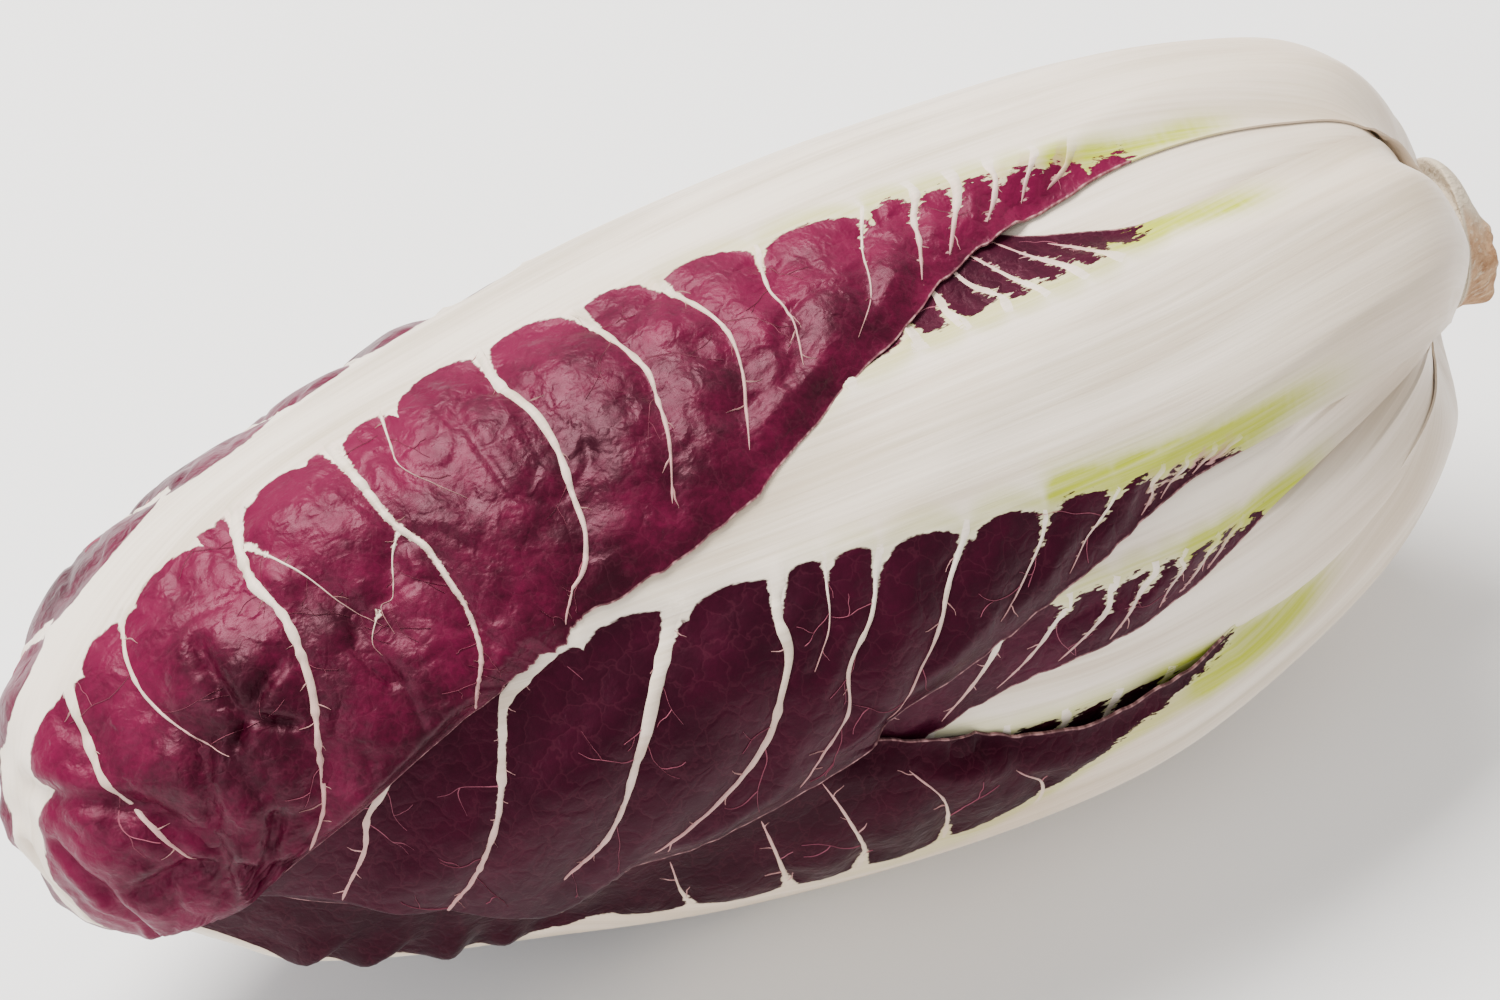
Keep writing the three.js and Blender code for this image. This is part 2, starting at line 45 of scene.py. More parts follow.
# The head: root end along +X, leaf tips along -X, resting at z = 0. ENVELOPE is its rounded form:
# distance along the axis, radius.
ROOT_X = 81.3
AXIS_HEIGHT = 42.6
ENVELOPE = [
    (-5.5, 9.2), (-3.3, 13), (-1, 17), (1.5, 20.5), (5, 24.1), (10, 28.1), (18, 32.2), (30, 36.2),
    (45, 39.1), (60, 40.2), (80, 39.7), (100, 37.6), (120, 34.1), (135, 30.7), (148, 26.8), (158, 22.6),
    (167, 17), (173, 10.8), (176.4, 0),
]
AXIS_RISE = [(0, 0), (7, 2.9), (18, 1.7), (45, -2.6), (60, -3.2), (100, -1.5), (148, 1.5), (174, 0.5)]
SPRING_LENGTH = 10
ROOT_TILT = 0.18
ROOT_TILT_TURN = -40
ROOT_TILT_LENGTH = 40
SHOULDER = [(105, 0), (130, 1.0), (150, 2.0), (165, 1.8), (176, 0)]
SHOULDER_TURN = -72
SHOULDER_SPREAD = 28
BELLY_DROP = [(0, 0), (30, 1), (60, 2), (88, 3.4), (110, 2.6), (150, 0)]
BELLY_HALF_ANGLE = 50
BELLY_SOFTNESS = 0.8
BELLY_REACH = 3
BELLY_FADE = 15
HINGE_AT = 120
HINGE_DISTANCE = 134.5
QUARTER_TURN_LENGTH = 70
CAP_RADIUS = 42

# Leaf blades and the room round them.
BLADE = 0.6
EDGE_BLADE = 0.3
LAYER_GAP = [(0, 0.3), (60, 0.35), (150, 0.4), (200, 0.7)]
DEEPEST_HUG = 4.4
BLADE_SINK = 0.9
RIB_SHOULDER = 1.25
HUG_REACH = 5
COVER_MARGIN = 1.5
COVER_RAMP = 13
FIELD_STEP = 1.5
FIELD_TURN = 2

# Thickness of the midribs at distances along the leaf.
THICK = {
    "outer_leaves": [(0, 1.8), (15, 3.0), (35, 4.8), (70, 4.4), (110, 3.2), (150, 2.2), (190, 1.5),
                     (225, 1.2)],
    "inner_leaves": [(0, 1.6), (15, 2.2), (35, 3.2), (70, 3.0), (110, 2.3), (150, 1.6), (190, 1.2),
                     (215, 1.1)],
}

# Veins measured on the photographed side, as (half width at the root, points). Points are distance
# along the leaf and degrees from its midrib.
TOP_VEINS = [
    (0.2, [(84, 26), (87, 33), (90, 43), (94, 49)]),
    (0.3, [(97, 25), (99, 34), (99, 41), (101, 50)]),
    (0.45, [(109, 22), (107, 31), (106, 38), (107, 46), (109, 53), (111, 60)]),
    (0.5, [(118, 20), (117, 29), (116, 39), (117, 46), (118, 52), (121, 63)]),
    (0.65, [(129, 15), (130, 28), (129, 36), (129, 45), (130, 54), (131, 63), (134, 70), (146, 76)]),
    (0.22, [(144, 16), (148, 27), (150, 33), (148, 40), (145, 47)]),
    (0.16, [(159, 42), (164, 44), (169, 47), (172, 48), (174, 47), (179, 51)]),
    (0.14, [(175, 47), (182, 48), (184, 50)]),
    (0.8, [(154, 16), (157, 32), (159, 41), (159, 48), (163, 56), (167, 61), (178, 66), (199, 66)]),
    (0.75, [(168, 13), (177, 26), (181, 34), (190, 40), (200, 41), (210, 39), (217, 33)]),
    (0.2, [(173, 22), (174, 34), (176, 41), (178, 49)]),
    (0.25, [(184, 10), (191, 18), (195, 24), (199, 30)]),
    (0.45, [(190, 7), (196, 13), (200, 16), (205, 20), (211, 22)]),
    (0.6, [(153, -8), (158, -22), (163, -36), (170, -48)]),
    (0.6, [(172, -7), (178, -18), (184, -30), (190, -40)]),
    (0.5, [(188, -5), (193, -13), (198, -22)]),
]
FRONT_VEINS = [
    (0.2, [(74, 15), (76, 18), (79, 21), (82, 26)]),
    (0.25, [(83, 14), (84, 18), (87, 23), (91, 29)]),
    (0.35, [(92, 11), (93, 14), (96, 20), (98, 26), (102, 34), (105, 42)]),
    (0.4, [(102, 10), (103, 13), (105, 20), (109, 28), (110, 36), (114, 44), (116, 50)]),
    (0.22, [(108, 8), (109, 14), (110, 20), (113, 27)]),
    (0.7, [(113, 7), (115, 16), (115, 22), (117, 29), (119, 36), (122, 42), (126, 48), (133, 57)]),
    (0.85, [(124, 6), (127, 14), (130, 22), (133, 32), (137, 43), (143, 51), (155, 57)]),
    (0.9, [(136, 6), (143, 11), (149, 15), (152, 22), (156, 31), (160, 37), (170, 45), (181, 49)]),
    (0.75, [(158, 6), (170, 21), (174, 24), (178, 29), (187, 34)]),
]
UNDER_VEINS = [
    (0.3, [(86, -24), (86, -31), (90, -38)]),
    (0.35, [(97, -22), (97, -26), (99, -37), (103, -45)]),
    (0.4, [(107, -20), (107, -25), (110, -37), (113, -47)]),
    (0.4, [(115, -18), (116, -22), (119, -36), (120, -41)]),
    (0.3, [(126, -16), (128, -22), (130, -33)]),
    (0.2, [(143, -14), (146, -18), (149, -23)]),
]

# turn: where the midrib lies round the head. grid: rows and columns of the outer face. rib: half width of
# the thick midrib, and low_rib the same on the side of the smaller angle where it differs. low_white and
# high_white: where the white ends, where that isn't the midrib's edge. low and high: the leaf's edges on
# the side of the smaller and of the larger angle. starts: where side veins leave the rib, on the low and
# the high side, where they weren't measured. red: where the blade's red begins on both sides. lobe: how
# far the blade draws back at a vein. gape: how open the low edge stands. low_painted_shade: how strongly
# painted shade darkens the white of the low side towards tan. bright and dark: the blade's tones. gloss:
# its sheen. painted_sheen: how much painted light brightens the low and high blades near the rib, on the
# side that faces the light. pucker: how crumpled the blade is. streaks: yellow-green streaks as (width,
# points). The dicts and edges before the list are shared by several leaves.
DARK_WINE = dict(bright=(0.042, 0.0026, 0.0130), dark=(0.0170, 0.0016, 0.0062))
DARKEST_WINE = dict(bright=(0.036, 0.0024, 0.0105), dark=(0.0150, 0.0015, 0.0052))
BACK_INNER = dict(
    rib=[(0, 34), (30, 26), (60, 22), (90, 17), (120, 13), (150, 10), (190, 4)], red=(56, 56),
    starts=((66, 80, 94, 108, 124, 142, 162), (72, 86, 100, 114, 130, 150, 170)),
    lobe=2.4, gloss=0.2, pucker=0.3,
)
BACK_EDGE = [(0, 36), (30, 28), (56, 28), (80, 42), (110, 56), (134, 62), (160, 55), (182, 32), (192, 8)]
FRONT_EDGE = [(0, 26), (30, 22), (56, 22), (80, 34), (110, 46), (134, 50), (154, 42), (170, 24), (178, 8)]
LEAVES = [
    dict(
        name="leaf_1_top", slot="outer_leaves", turn=-33, length=222, grid=(350, 180),
        rib=[(0, 40), (20, 36), (64, 31), (99, 24), (131, 17), (150, 20), (178, 13), (198, 6), (222, 3)],
        low_rib=[(0, 40), (20, 36), (64, 30), (99, 22), (120, 14), (150, 9), (178, 7), (198, 4), (222, 3)],
        high=[(0, 42), (25, 36), (50, 34), (66, 37), (74, 40), (83, 46), (93, 52), (103, 59), (115, 68),
              (130, 75), (156, 78), (191, 72), (205, 60), (213, 46), (219, 24), (222, 9)],
        low=[(0, 42), (25, 37), (58, 37), (80, 48), (100, 60), (130, 72), (156, 74), (185, 66), (205, 50),
             (216, 30), (222, 9)],
        low_white=[(0, 40), (20, 36), (64, 30), (99, 22), (120, 13), (140, 6), (150, 4), (160, 2), (222, 1)],
        veins=TOP_VEINS, starts=((78, 90, 102, 113, 125, 138), (58, 63, 68, 73, 78)), red=(60, 52),
        streaks=[(1.6, [(34, 33), (43, 32), (51, 32), (62, 31)]), (2, [(30, -33), (56, -33), (72, -32)])],
        lobe=3.4, bright=(0.120, 0.0030, 0.0300), dark=(0.017, 0.0005, 0.0044), gloss=0.28, pucker=1,
        painted_sheen=(0.5, 0.9),
    ),
    dict(
        name="leaf_2_front", slot="outer_leaves", turn=38, length=205, grid=(330, 180),
        rib=[(0, 34), (30, 25), (50, 22), (62, 18), (73, 15.5), (81, 14), (94, 12), (106, 10), (129, 8.5),
             (150, 7), (180, 5), (205, 3)],
        low_rib=[(0, 34), (30, 25), (50, 23), (66, 20.5), (90, 19.5), (100, 17), (129, 12), (150, 8),
                 (180, 6), (205, 3)],
        low=[(0, 36), (30, 26), (55, 24), (66, 29), (75, 36), (100, 50), (134, 62), (165, 58), (190, 42),
             (205, 8)],
        high=[(0, 36), (30, 25), (56, 19.5), (65, 20), (72, 23), (83, 29), (93, 36), (101, 41), (108, 47),
              (116, 53), (127, 61), (140, 67), (163, 72), (174, 66), (181, 52), (188, 38), (205, 8)],
        veins=FRONT_VEINS, starts=((62, 67, 72, 77, 82, 88, 97, 108, 122, 138, 156, 174), (57, 60.5, 64, 68)),
        red=(57, 55.5),
        streaks=[(2.2, [(36, 21), (42, 18), (49, 16.5), (58, 15), (69, 13), (82, 11)]),
                 (1.9, [(36, -20), (44, -20), (50, -21), (62, -23)])],
        lobe=2.8, gloss=0.17, pucker=0.2, painted_sheen=(0.5, 0.1), **DARK_WINE,
    ),
    dict(
        name="leaf_3_underside", slot="outer_leaves", turn=137, length=205, grid=(280, 150),
        rib=[(0, 44), (30, 40), (60, 35), (72, 35), (90, 25), (108, 21), (126, 17), (140, 10), (160, 6),
             (205, 3)],
        low_rib=[(0, 44), (30, 41), (60, 37), (70, 36), (80, 31), (95, 29), (120, 28), (131, 25), (139, 15),
                 (147, 5), (160, 2), (205, 1.5)],
        low=[(0, 52), (30, 51), (38, 48), (48, 47), (61, 47.5), (69, 44), (78, 42), (88, 44), (98, 49),
             (108, 52), (130, 54), (150, 51), (170, 44), (188, 31), (205, 8)],
        high=[(0, 44), (30, 42), (52, 44), (75, 58), (100, 70), (134, 74), (165, 66), (190, 44), (205, 8)],
        low_white=[(0, 44), (48, 44), (60, 45), (67, 42), (74, 39), (81, 34), (85, 29.5), (91, 25), (97, 22),
                   (115, 19), (137, 15), (143, 8), (150, 4), (160, 1.5), (205, 1)],
        veins=UNDER_VEINS, starts=((), (66, 80, 93, 106, 119, 133, 150, 168, 184)), red=(62, 54),
        streaks=[(2.6, [(44, -44), (50, -43), (57, -42), (66, -40)]), (2, [(30, 36), (56, 36), (72, 36)])],
        lobe=0.8, gape=[(60, 0), (68, 0.45), (76, 0.5), (86, 0.25), (94, 0)], low_painted_shade=0.34,
        gloss=0.08, pucker=0.3, **DARKEST_WINE,
    ),
    dict(
        name="leaf_4_back", slot="outer_leaves", turn=-122, length=203, grid=(280, 150),
        rib=[(0, 42), (30, 38), (62, 33), (92, 26), (120, 19), (150, 15), (180, 9), (203, 4)],
        low=[(0, 44), (30, 40), (56, 38), (76, 47), (100, 60), (134, 70), (165, 64), (185, 46), (197, 26),
             (203, 8)],
        high=[(0, 44), (30, 39), (56, 36), (80, 46), (104, 55), (134, 63), (165, 58), (185, 44), (197, 26),
              (203, 8)],
        starts=((70, 82, 94, 106, 118, 131, 145, 159, 174, 188),
                (72, 84, 97, 109, 121, 135, 149, 164, 180)), red=(56, 56),
        lobe=3.0, bright=(0.110, 0.0032, 0.0270), dark=(0.022, 0.0008, 0.0056), gloss=0.25, pucker=0.7,
        painted_sheen=(0.6, 0.6),
        streaks=[(2, [(34, 36), (46, 35), (58, 35)]), (2, [(34, -36), (46, -36), (58, -35)])],
    ),
    dict(
        name="leaf_5_back_low", slot="inner_leaves", turn=188, length=192, grid=(170, 90),
        low=BACK_EDGE, high=BACK_EDGE, **BACK_INNER, **DARKEST_WINE,
    ),
    dict(
        name="leaf_6_back_high", slot="inner_leaves", turn=-78, length=190, grid=(170, 90),
        low=[(0, 36), (30, 28), (54, 28), (78, 40), (110, 54), (134, 60), (160, 52), (181, 30), (190, 8)],
        high=[(0, 36), (30, 28), (56, 28), (80, 42), (110, 54), (134, 60), (160, 52), (181, 30), (190, 8)],
        **BACK_INNER, **DARK_WINE,
    ),
    dict(
        name="leaf_7_front_low", slot="inner_leaves", turn=58, length=180, grid=(240, 110),
        rib=[(0, 18), (30, 13), (60, 12), (80, 11), (110, 9), (150, 6), (180, 3)],
        low=[(0, 20), (30, 15), (58, 15), (80, 26), (110, 44), (134, 50), (156, 42), (172, 24), (180, 8)],
        high=[(0, 20), (30, 12), (52, 12), (66, 18), (76, 22), (89, 25), (96, 30), (110, 40), (134, 48),
              (156, 42), (172, 24), (180, 8)],
        starts=((66, 80, 94, 110, 130), (59, 63, 67, 71, 76, 82, 90, 100, 115, 135)),
        streaks=[(1.7, [(42, 10), (50, 11), (58, 11), (66, 11)])], red=(56, 56),
        lobe=1.6, bright=(0.060, 0.0034, 0.0190), dark=(0.0230, 0.0018, 0.0080), gloss=0.14, pucker=0.2,
    ),
    dict(
        name="leaf_8_front_lowest", slot="inner_leaves", turn=77, length=176, grid=(240, 110),
        rib=[(0, 20), (30, 14), (46, 13), (60, 12), (72, 11), (96, 11), (120, 9), (150, 5), (176, 3)],
        low=[(0, 22), (30, 14), (58, 15), (80, 26), (110, 42), (134, 46), (152, 38), (168, 22), (176, 8)],
        high=[(0, 30), (30, 28), (46, 27), (60, 30), (80, 34), (95, 38), (134, 46), (152, 38), (168, 22),
              (176, 8)],
        starts=((66, 80, 94, 110, 130), (62, 69, 76, 83, 90, 99, 112, 130)),
        high_white=[(0, 22), (46, 19), (60, 17.5), (90, 17), (100, 14), (130, 9), (176, 3)],
        streaks=[(2.8, [(48, 22), (54, 21), (62, 19), (70, 18)])], red=(56, 68),
        lobe=0.6, bright=(0.030, 0.0018, 0.0080), dark=(0.0100, 0.0012, 0.0036), gloss=0.1, pucker=0.2,
    ),
    dict(
        name="leaf_9_front_high", slot="inner_leaves", turn=3, length=178, grid=(170, 80),
        rib=[(0, 24), (30, 20), (60, 17), (90, 13), (120, 10), (150, 6), (178, 3)],
        low=FRONT_EDGE, high=FRONT_EDGE,
        starts=((66, 80, 94, 110, 130), (66, 80, 94, 110, 130)), red=(56, 56),
        lobe=2.0, gloss=0.2, pucker=0.3, **DARK_WINE,
    ),
]


def smooth(value):
    t = np.clip(value, 0, 1)
    return t * t * (3 - 2 * t)


def lerp(a, b, t):
    return a + (b - a) * t


def along(table, x):
    """Value at x on the smooth curve through a table's points."""
    xs, ys = np.array(table, float).T
    slopes = np.empty(len(xs))
    slopes[1:-1] = (ys[2:] - ys[:-2]) / (xs[2:] - xs[:-2])
    slopes[0] = (ys[1] - ys[0]) / (xs[1] - xs[0])
    slopes[-1] = (ys[-1] - ys[-2]) / (xs[-1] - xs[-2])
    x = np.clip(x, xs[0], xs[-1])
    i = np.clip(np.searchsorted(xs, x) - 1, 0, len(xs) - 2)
    span = xs[i + 1] - xs[i]
    t = (x - xs[i]) / span
    return ((2 * t**3 - 3 * t**2 + 1) * ys[i] + (t**3 - 2 * t**2 + t) * span * slopes[i]
            + (3 * t**2 - 2 * t**3) * ys[i + 1] + (t**3 - t**2) * span * slopes[i + 1])


def noise(points, size, seed):
    """Smooth noise from -1 to 1 at points, with bumps about one size across."""
    lattice = np.random.default_rng(seed).uniform(-1, 1, (32, 32, 32))
    p = np.asarray(points) / size
    cell = np.floor(p).astype(int)
    f = smooth(p - cell)
    total = 0
    for corner in range(8):
        d = np.array([corner & 1, corner >> 1 & 1, corner >> 2 & 1])
        weight = np.prod(np.where(d, f, 1 - f), axis=-1)
        k = (cell + d) % 32
        total = total + weight * lattice[k[..., 0], k[..., 1], k[..., 2]]
    return total


def centripetal(points, steps=40):
    """Centripetal curve through a list of points, as a fine polyline."""
    p = np.array(points, float)
    p = np.vstack([2 * p[0] - p[1], p, 2 * p[-1] - p[-2]])
    line = []
    for a, b, c, d in zip(p, p[1:], p[2:], p[3:]):
        t0 = 0
        t1 = t0 + np.linalg.norm(b - a) ** 0.5
        t2 = t1 + np.linalg.norm(c - b) ** 0.5
        t3 = t2 + np.linalg.norm(d - c) ** 0.5
        for t in np.linspace(t1, t2, steps, endpoint=False):
            ab = lerp(a, b, (t - t0) / (t1 - t0))
            bc = lerp(b, c, (t - t1) / (t2 - t1))
            cd = lerp(c, d, (t - t2) / (t3 - t2))
            abc = lerp(ab, bc, (t - t0) / (t2 - t0))
            bcd = lerp(bc, cd, (t - t1) / (t3 - t1))
            line.append(lerp(abc, bcd, (t - t1) / (t2 - t1)))
    line.append(p[-2])
    return np.array(line)


# The envelope as samples of its length: distance along the axis, radius and outward normal.
outline = centripetal(ENVELOPE)
lengths = np.concatenate([[0], np.cumsum(np.linalg.norm(np.diff(outline, axis=0), axis=1))])
COLLAR = HINGE_DISTANCE - np.interp(HINGE_AT, outline[:, 0], lengths)
TIP = COLLAR + lengths[-1]
profile_arc = np.linspace(COLLAR, TIP, 1200)
profile_q = np.interp(profile_arc - COLLAR, lengths, outline[:, 0])
profile_r = np.maximum(np.interp(profile_arc - COLLAR, lengths, outline[:, 1]), 0)
tangent_q = np.gradient(profile_q) * smooth((profile_arc - COLLAR) / SPRING_LENGTH)
tangent_r = np.gradient(profile_r)
tangent_size = np.hypot(tangent_q, tangent_r)
profile_nq = -tangent_r / tangent_size
profile_nr = tangent_q / tangent_size
profile_lean = np.arctan2(profile_q - HINGE_AT, profile_r)


def on_profile(values, arc):
    return np.interp(arc, profile_arc, values)


def turn_from(middle, turn):
    return (turn - middle + 180) % 360 - 180


def full_radius(q, r, turn):
    bulge = np.exp(-((turn_from(SHOULDER_TURN, turn) / SHOULDER_SPREAD) ** 2))
    return r + along(SHOULDER, q) * bulge


def root_shift(arc, turn, radius):
    share = 1 - smooth((arc - COLLAR) / ROOT_TILT_LENGTH)
    return ROOT_TILT * share * radius * np.cos(np.radians(turn - ROOT_TILT_TURN))


def skin_height(q, r, turn):
    drop = along(BELLY_DROP, q) * (1 - smooth(np.abs(turn_from(180, turn)) / BELLY_HALF_ANGLE))
    up = full_radius(q, r, turn) * np.cos(np.radians(turn))
    return AXIS_HEIGHT + along(AXIS_RISE, q) + up - drop, drop


def place(arc, turn, depth):
    """Place in space of a spot of the envelope, sunk by depth along the normal, in millimetres."""
    q, r = on_profile(profile_q, arc), on_profile(profile_r, arc)
    nq, nr = on_profile(profile_nq, arc), on_profile(profile_nr, arc)
    skin, drop = skin_height(q, r, turn)
    eased = (skin + BELLY_SOFTNESS) ** 2 / (4 * BELLY_SOFTNESS)
    rested = np.where(skin < -BELLY_SOFTNESS, 0, np.where(skin < BELLY_SOFTNESS, eased, skin))
    push = (rested - skin - drop) * np.exp(-np.maximum(depth, 0) / BELLY_FADE)
    up, side = np.cos(np.radians(turn)), np.sin(np.radians(turn))
    radius = full_radius(q, r, turn) - depth * nr
    height = AXIS_HEIGHT + along(AXIS_RISE, q) + radius * up + push
    out = ROOT_X - q + depth * nq + root_shift(arc, turn, radius)
    return np.stack([out, -radius * side, height], axis=-1)


def to_envelope(leaf, distance, angle):
    """Leaf coordinates, distance and degrees from the midrib, to arc and turn on the envelope."""
    fold = (distance - HINGE_DISTANCE) / QUARTER_TURN_LENGTH * math.pi / 2
    a = np.radians(angle)
    lean = np.arcsin(np.clip(np.cos(a) * np.sin(fold), -1, 1))
    turn = np.degrees(np.arctan2(np.sin(a), np.cos(a) * np.cos(fold)))
    past = distance > HINGE_DISTANCE
    arc = np.where(past, np.interp(lean, profile_lean, profile_arc), distance)
    return arc, leaf["turn"] + np.where(past, turn, angle)


def to_leaf(leaf, arc, turn):
    """The other way: arc and turn on the envelope to leaf coordinates."""
    off = turn_from(leaf["turn"], turn)
    lean = on_profile(profile_lean, arc)
    up = np.cos(lean) * np.cos(np.radians(off))
    fold = np.arctan2(np.sin(lean), up)
    angle = np.degrees(np.arcsin(np.clip(np.cos(lean) * np.sin(np.radians(off)), -1, 1)))
    past = arc > HINGE_DISTANCE
    distance = HINGE_DISTANCE + fold / (math.pi / 2) * QUARTER_TURN_LENGTH
    return np.where(past, distance, arc), np.where(past, angle, off)


def mm_per_degree(distance):
    radius = on_profile(profile_r, np.minimum(distance, HINGE_DISTANCE))
    past = smooth((distance - HINGE_DISTANCE) / 40)
    return lerp(radius, CAP_RADIUS, past) * math.pi / 180


def rib_edge(leaf, distance, angle):
    low = along(leaf.get("low_rib", leaf["rib"]), distance)
    return np.where(angle < 0, low, along(leaf["rib"], distance))


def white_edge(leaf, distance, angle):
    low = along(leaf.get("low_white", leaf.get("low_rib", leaf["rib"])), distance)
    return np.where(angle < 0, low, along(leaf.get("high_white", leaf["rib"]), distance))


def rib_share(leaf, distance, angle):
    return 1 - smooth(np.abs(angle) / (RIB_SHOULDER * rib_edge(leaf, distance, angle)))


def thickness(leaf, distance, angle):
    return lerp(BLADE, along(THICK[leaf["slot"]], distance), rib_share(leaf, distance, angle))


def slot(leaf, distance, angle):
    share = rib_share(leaf, distance, angle)
    return BLADE_SINK * (1 - share) + thickness(leaf, distance, angle) + along(LAYER_GAP, distance)


# A field over the envelope holds one number for each step of arc and turn.
field_rows = math.ceil((TIP - COLLAR) / FIELD_STEP)
field_columns = 360 // FIELD_TURN
field_arc, field_turn = np.meshgrid(
    COLLAR + np.arange(field_rows + 1) * FIELD_STEP, np.arange(field_columns) * FIELD_TURN, indexing="ij")
field_spots = place(field_arc, field_turn, 0)


def read_field(field, arc, turn):
    x = np.clip((arc - COLLAR) / FIELD_STEP, 0, field_rows - 1e-6)
    y = (turn % 360) / FIELD_TURN
    i, j = np.floor(x).astype(int), np.floor(y).astype(int) % field_columns
    k = (j + 1) % field_columns
    u, v = x - i, y - np.floor(y)
    return lerp(lerp(field[i, j], field[i, k], v), lerp(field[i + 1, j], field[i + 1, k], v), u)


def is_inside(leaf, distance, angle):
    return ((distance <= leaf["length"]) & (angle <= along(leaf["high"], distance))
            & (angle >= -along(leaf["low"], distance)))


def cover_field(leaf):
    """1 under a leaf and close round it, fading to 0 further out."""
    distance, angle = to_leaf(leaf, field_arc, field_turn)
    inside = is_inside(leaf, distance, angle)
    walk = np.linspace(COLLAR, leaf["length"], 260)
    low, high = -along(leaf["low"], walk), along(leaf["high"], walk)
    across = np.linspace(0, 1, 40)
    rim_distance = np.concatenate([walk, walk, np.full(40, walk[0]), np.full(40, walk[-1])])
    rim_angle = np.concatenate([low, high, lerp(low[0], high[0], across), lerp(low[-1], high[-1], across)])
    rim = place(*to_envelope(leaf, rim_distance, rim_angle), 0)
    spots = field_spots.reshape(-1, 3)
    nearest = np.full(len(spots), np.inf)
    for part in np.array_split(rim, 12):
        gaps = np.linalg.norm(spots[:, None] - part[None], axis=2).min(axis=1)
        nearest = np.minimum(nearest, gaps)
    outside = np.where(inside, 0, nearest.reshape(inside.shape))
    return 1 - smooth((outside - COVER_MARGIN) / COVER_RAMP)


depth_now = np.zeros(field_arc.shape)
for leaf in LEAVES:
    leaf["depth"] = depth_now
    reach, angle = to_leaf(leaf, field_arc, field_turn)
    depth_now = depth_now + cover_field(leaf) * slot(leaf, reach, angle)
heart_depth = depth_now


def lowest_around(field):
    """The smallest value of a field among each spot and the spots next to it."""
    padded = np.pad(field, ((1, 1), (0, 0)), mode="edge")
    tall = np.minimum(np.minimum(padded[:-2], padded[1:-1]), padded[2:])
    return np.minimum(np.minimum(np.roll(tall, 1, axis=1), tall), np.roll(tall, -1, axis=1))


# How deep the next surface below each leaf lies, so that its edges can lie down on it.
HEART_CLEARANCE = 1.0
SINK_KEPT = 0.8
floor_now = heart_depth + HEART_CLEARANCE
for leaf in reversed(LEAVES):
    leaf["below"] = lowest_around(floor_now)
    reach, angle = to_leaf(leaf, field_arc, field_turn)
    skin_depth = leaf["depth"] + SINK_KEPT * BLADE_SINK * (1 - rib_share(leaf, reach, angle))
    floor_now = np.where(is_inside(leaf, reach, angle), skin_depth, floor_now)


# Veins. The rooms are the least distances in millimetres that veins keep from the white rib and the edge.
PATH_STEP = 0.35
MAIN_EDGE_ROOM = 0.4
FINE_RIB_ROOM = 0.5
FINE_EDGE_ROOM = 1
FEWEST_POINTS = 4


def vein_path(points, step=PATH_STEP):
    """A smooth path through points of leaf coordinates, about one point each step of millimetres."""
    line = centripetal(points, 16)
    flat = np.column_stack([line[:, 0], line[:, 1] * mm_per_degree(line[:, 0])])
    run = np.concatenate([[0], np.cumsum(np.linalg.norm(np.diff(flat, axis=0), axis=1))])
    at = np.arange(0, run[-1], step)
    return np.column_stack([np.interp(at, run, line[:, 0]), np.interp(at, run, line[:, 1])]), at, run[-1]


def ruled_vein(leaf, side, start, rng):
    """A side vein from a start on the rib, sweeping forward on its way to the edge."""
    edge = leaf["high"] if side > 0 else leaf["low"]
    forward = start / leaf["length"]
    sweep = lerp(3, 24, forward**2) * rng.uniform(0.8, 1.2)
    root = white_edge(leaf, start, side) * 0.85
    points = []
    for t in (0, 0.2, 0.45, 0.7, 1):
        distance = min(start + sweep * t**1.8 + rng.uniform(-0.8, 0.8) * (t > 0), leaf["length"] - 3)
        tip = along(edge, distance) * 0.93
        points.append((distance, side * lerp(root, max(tip, root + 0.5), t)))
    reach = abs(points[-1][1]) * mm_per_degree(points[-1][0]) / 45
    return rng.uniform(0.75, 1.1) * min(0.75, 0.2 + 0.7 * reach), points


def leaf_veins(leaf):
    """All main veins of a leaf as (half width, points), on both sides."""
    rng = np.random.default_rng(leaf["seed"])
    veins = list(leaf.get("veins", []))
    for side, starts in zip((-1, 1), leaf["starts"]):
        veins += [ruled_vein(leaf, side, start, rng) for start in starts]
    return veins


def flat_path(path):
    """Leaf coordinates as millimetres along and across the leaf."""
    return np.column_stack([path[:, 0], path[:, 1] * mm_per_degree(path[:, 0])])


def twig(spot, heading, length, rng):
    """A crooked fine vein from a spot, in millimetres along and across the leaf."""
    points = [spot.copy()]
    for _ in range(5):
        heading += rng.uniform(-0.45, 0.45)
        spot = spot + length / 5 * np.array([math.cos(heading), math.sin(heading)])
        points.append(spot)
    points = np.array(points)
    return np.column_stack([points[:, 0], points[:, 1] / mm_per_degree(points[:, 0])]), heading


def kept_run(leaf, path, edge_room, rib_room):
    """How many points of a path come before the first one too near the leaf's edge or rib."""
    distance, angle = path[:, 0], path[:, 1]
    side = np.where(angle < 0, -1, 1)
    edge = np.where(angle < 0, along(leaf["low"], distance), along(leaf["high"], distance))
    scale = mm_per_degree(distance)
    off_rib = (np.abs(angle) - white_edge(leaf, distance, side)) * scale
    off_edge = np.minimum((edge - np.abs(angle)) * scale, leaf["length"] - distance)
    outside = (off_rib < rib_room) | (off_edge < edge_room)
    return int(np.argmax(outside)) if outside.any() else len(path)


def cut_back(leaf, line, edge_room, rib_room=-math.inf):
    """A vein path cut off where it would leave the blade, or None if too little is left."""
    path, run, _ = line
    kept = kept_run(leaf, path, edge_room, rib_room)
    if kept < FEWEST_POINTS:
        return None
    return path[:kept], run[:kept], run[kept - 1]


